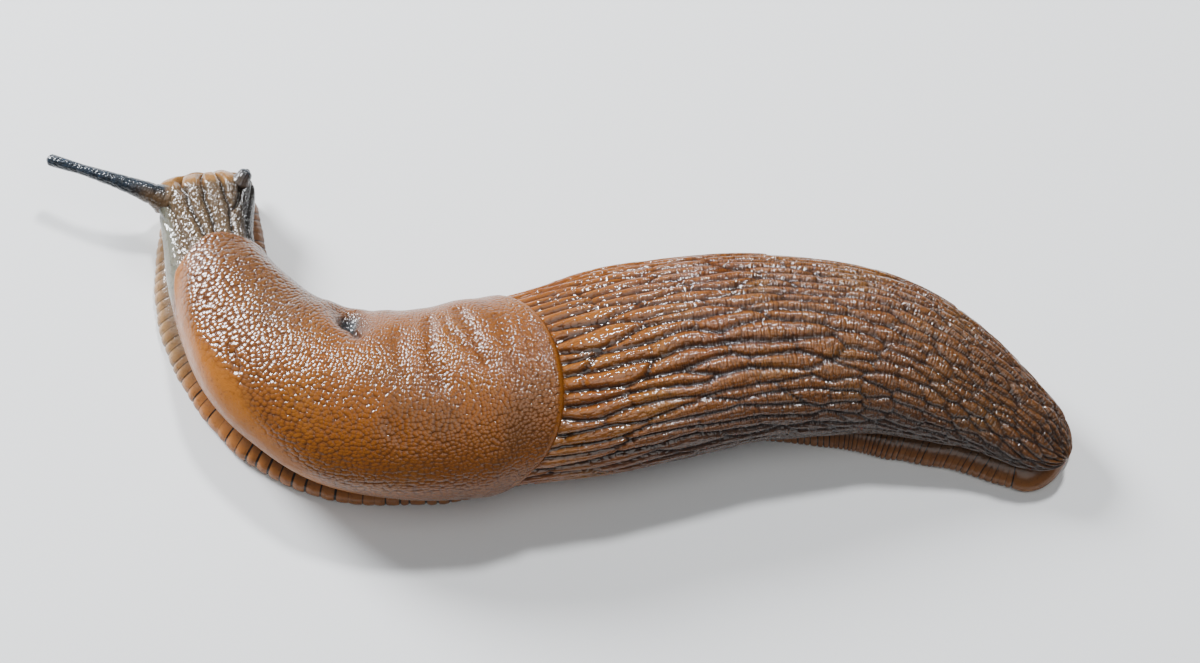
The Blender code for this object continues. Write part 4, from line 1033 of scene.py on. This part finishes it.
def shellFaces(rows, columns, points):
    # Quads between neighbouring rows, turned so that the shell's volume is positive.
    index = np.arange(rows * columns).reshape(rows, columns)
    faces = np.stack((index[:-1, :-1], index[:-1, 1:], index[1:, 1:], index[1:, :-1]), axis=-1).reshape(-1, 4)
    corner = points.reshape(-1, 3)[faces]
    volume = np.einsum("ij,ij->i", corner[:, 0], np.cross(corner[:, 1], corner[:, 2])).sum()
    volume = volume + np.einsum("ij,ij->i", corner[:, 0], np.cross(corner[:, 2], corner[:, 3])).sum()
    return faces if volume > 0 else faces[:, ::-1]


def joinShells(name):
    # All shells become one mesh, and its seams and poles are then welded.
    points = np.concatenate([shell["points"].reshape(-1, 3) for shell in shells]) * millimetre
    start = 0
    faces = []
    slots = []
    for shell in shells:
        rows, columns = shell["points"].shape[:2]
        made = shellFaces(rows, columns, shell["points"]) + start
        faces.append(made)
        slots.append(np.full(len(made), list(finishes).index(shell["finish"])))
        start += rows * columns
    faces = np.concatenate(faces)
    mesh = bpy.data.meshes.new(name)
    mesh.vertices.add(len(points))
    mesh.vertices.foreach_set("co", points.astype(np.float32).ravel())
    mesh.loops.add(faces.size)
    mesh.loops.foreach_set("vertex_index", faces.ravel().astype(np.int32))
    mesh.polygons.add(len(faces))
    mesh.polygons.foreach_set("loop_start", np.arange(0, faces.size, 4, dtype=np.int32))
    for finish in finishes.values():
        mesh.materials.append(finish)
    mesh.polygons.foreach_set("material_index", np.concatenate(slots).astype(np.int32))
    mesh.update(calc_edges=True)
    for layer, scale in (("lay", 1.0), ("sheet", 1.0 / 136.0)):
        places = np.concatenate([shell[layer].reshape(-1, 2) for shell in shells]) * scale
        made = mesh.uv_layers.new(name="OFBake" if layer == "sheet" else layer)
        made.uv.foreach_set("vector", places[faces.ravel()].astype(np.float32).ravel())
    names = sorted({key for shell in shells for key in shell["values"]})
    for key in names:
        column = []
        for shell in shells:
            plain = np.zeros(shell["points"].shape[:2])
            column.append(np.broadcast_to(shell["values"].get(key, plain), plain.shape).ravel())
        made = mesh.attributes.new(key, "FLOAT", "POINT")
        made.data.foreach_set("value", np.concatenate(column).astype(np.float32))
    weld = bmesh.new()
    weld.from_mesh(mesh)
    bmesh.ops.remove_doubles(weld, verts=weld.verts, dist=1e-7)
    weld.to_mesh(mesh)
    weld.free()
    mesh.shade_smooth()
    made = bpy.data.objects.new(name, mesh)
    bpy.context.scene.collection.objects.link(made)
    return made


skin = joinShells("skin")
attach(skin, "root")
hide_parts(*[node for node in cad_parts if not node.startswith("eye")])
print("skin", len(skin.data.vertices), "points,", sum(len(face.vertices) - 2 for face in skin.data.polygons), "triangles")


eyes = {
    "radius": 0.42,
    "ahead": 0.24,  # of the feeler's tip
    "rings": 24,
    "colour": (0.004, 0.004, 0.005),
    "roughness": 0.12,
}


def makeEyeMaterial():
    material = bpy.data.materials.new("eyeGloss")
    material.use_nodes = True
    tree = material.node_tree
    shader = tree.nodes["Principled BSDF"]
    colour = mixColour(tree, objectNoise(tree, 0.4), eyes["colour"], tuple(3 * part for part in eyes["colour"]))
    tree.links.new(colour, shader.inputs["Base Color"])
    shader.inputs["Roughness"].default_value = eyes["roughness"]
    shader.inputs["Coat Weight"].default_value = 1.0
    shader.inputs["Coat Roughness"].default_value = 0.03
    return material


eyeGloss = makeEyeMaterial()


def makeEye(name, node, feeler):
    # A small ball in the feeler's tip, from its front pole to its back one.
    centre = feeler["tip"] + feeler["heading"] * eyes["ahead"]
    down, turn = np.meshgrid(np.linspace(0, math.pi, eyes["rings"]), np.linspace(0, 2 * math.pi, 2 * eyes["rings"]), indexing="ij")
    ball = np.stack((np.sin(down) * np.cos(turn), np.sin(down) * np.sin(turn), np.cos(down)), axis=-1)
    points = centre + eyes["radius"] * ball
    faces = shellFaces(*points.shape[:2], points)
    mesh = bpy.data.meshes.new(name)
    mesh.from_pydata((points.reshape(-1, 3) * millimetre).tolist(), [], faces.tolist())
    mesh.materials.append(eyeGloss)
    weld = bmesh.new()
    weld.from_mesh(mesh)
    bmesh.ops.remove_doubles(weld, verts=weld.verts, dist=1e-7)
    weld.to_mesh(mesh)
    weld.free()
    mesh.shade_smooth()
    made = bpy.data.objects.new(name, mesh)
    bpy.context.scene.collection.objects.link(made)
    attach(made, "root")
    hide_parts(node)
    return made


makeEye("eyeLeft", "eye_left", feelers["upperLeft"])
makeEye("eyeRight", "eye_right", feelers["upperRight"])
print("eyes made")


stage = {
    "floorSize": 3.0,
    "floor": (0.80, 0.80, 0.785),
    "sky": (0.80, 0.88, 1.0),
    "skyStrength": 0.2,
    "lamps": (  # name, place from the middle of the animal in metres, size, watts, colour
        ("windowLamp", (-0.42, 0.38, 0.30), 0.22, 11.5, (0.92, 0.95, 1.0)),
        ("rearLamp", (0.12, 0.30, 0.52), 0.07, 3.8, (0.94, 0.96, 1.0)),
        ("topLamp", (0.10, -0.16, 0.72), 0.60, 1.7, (1.0, 0.99, 0.97)),
    ),
    "cameraDistance": 0.26,
    "cameraElevation": 65.0,
    "cameraWidthAngle": 29.7,
}


def makeFloor():
    half = stage["floorSize"] / 2
    mesh = bpy.data.meshes.new("floor")
    mesh.from_pydata([(-half, -half, 0), (half, -half, 0), (half, half, 0), (-half, half, 0)], [], [(0, 1, 2, 3)])
    material = bpy.data.materials.new("paleFloor")
    material.use_nodes = True
    tree = material.node_tree
    shader = tree.nodes["Principled BSDF"]
    pale = stage["floor"]
    colour = mixColour(tree, objectNoise(tree, 60.0), pale, tuple(0.97 * part for part in pale))
    tree.links.new(colour, shader.inputs["Base Color"])
    shader.inputs["Roughness"].default_value = 0.75
    mesh.materials.append(material)
    floor = bpy.data.objects.new("floor", mesh)
    bpy.context.scene.collection.objects.link(floor)


def makeLights():
    world = bpy.data.worlds.new("softSky")
    world.use_nodes = True
    background = world.node_tree.nodes["Background"]
    background.inputs["Color"].default_value = (*stage["sky"], 1.0)
    background.inputs["Strength"].default_value = stage["skyStrength"]
    bpy.context.scene.world = world
    for name, place, size, watts, colour in stage["lamps"]:
        light = bpy.data.lights.new(name, "AREA")
        light.shape = "DISK"
        light.size = size
        light.energy = watts
        light.color = colour
        lamp = bpy.data.objects.new(name, light)
        lamp.location = place
        lamp.rotation_euler = (-Vector(place)).to_track_quat("-Z", "Y").to_euler()
        bpy.context.scene.collection.objects.link(lamp)


def makeCamera():
    # The camera looks at the spine's zero from the front and above.
    rise = math.radians(stage["cameraElevation"])
    aim = Vector((*body["origin"], 0.0)) * millimetre
    away = Vector((0.0, -math.cos(rise), math.sin(rise))) * stage["cameraDistance"]
    lens = bpy.data.cameras.new("photoCamera")
    lens.angle = math.radians(stage["cameraWidthAngle"])
    lens.clip_start = 0.005
    camera = bpy.data.objects.new("photoCamera", lens)
    camera.location = aim + away
    camera.rotation_euler = (-away).to_track_quat("-Z", "Y").to_euler()
    bpy.context.scene.collection.objects.link(camera)
    bpy.context.scene.camera = camera


makeFloor()
makeLights()
makeCamera()
print("floor, lights and camera ready")
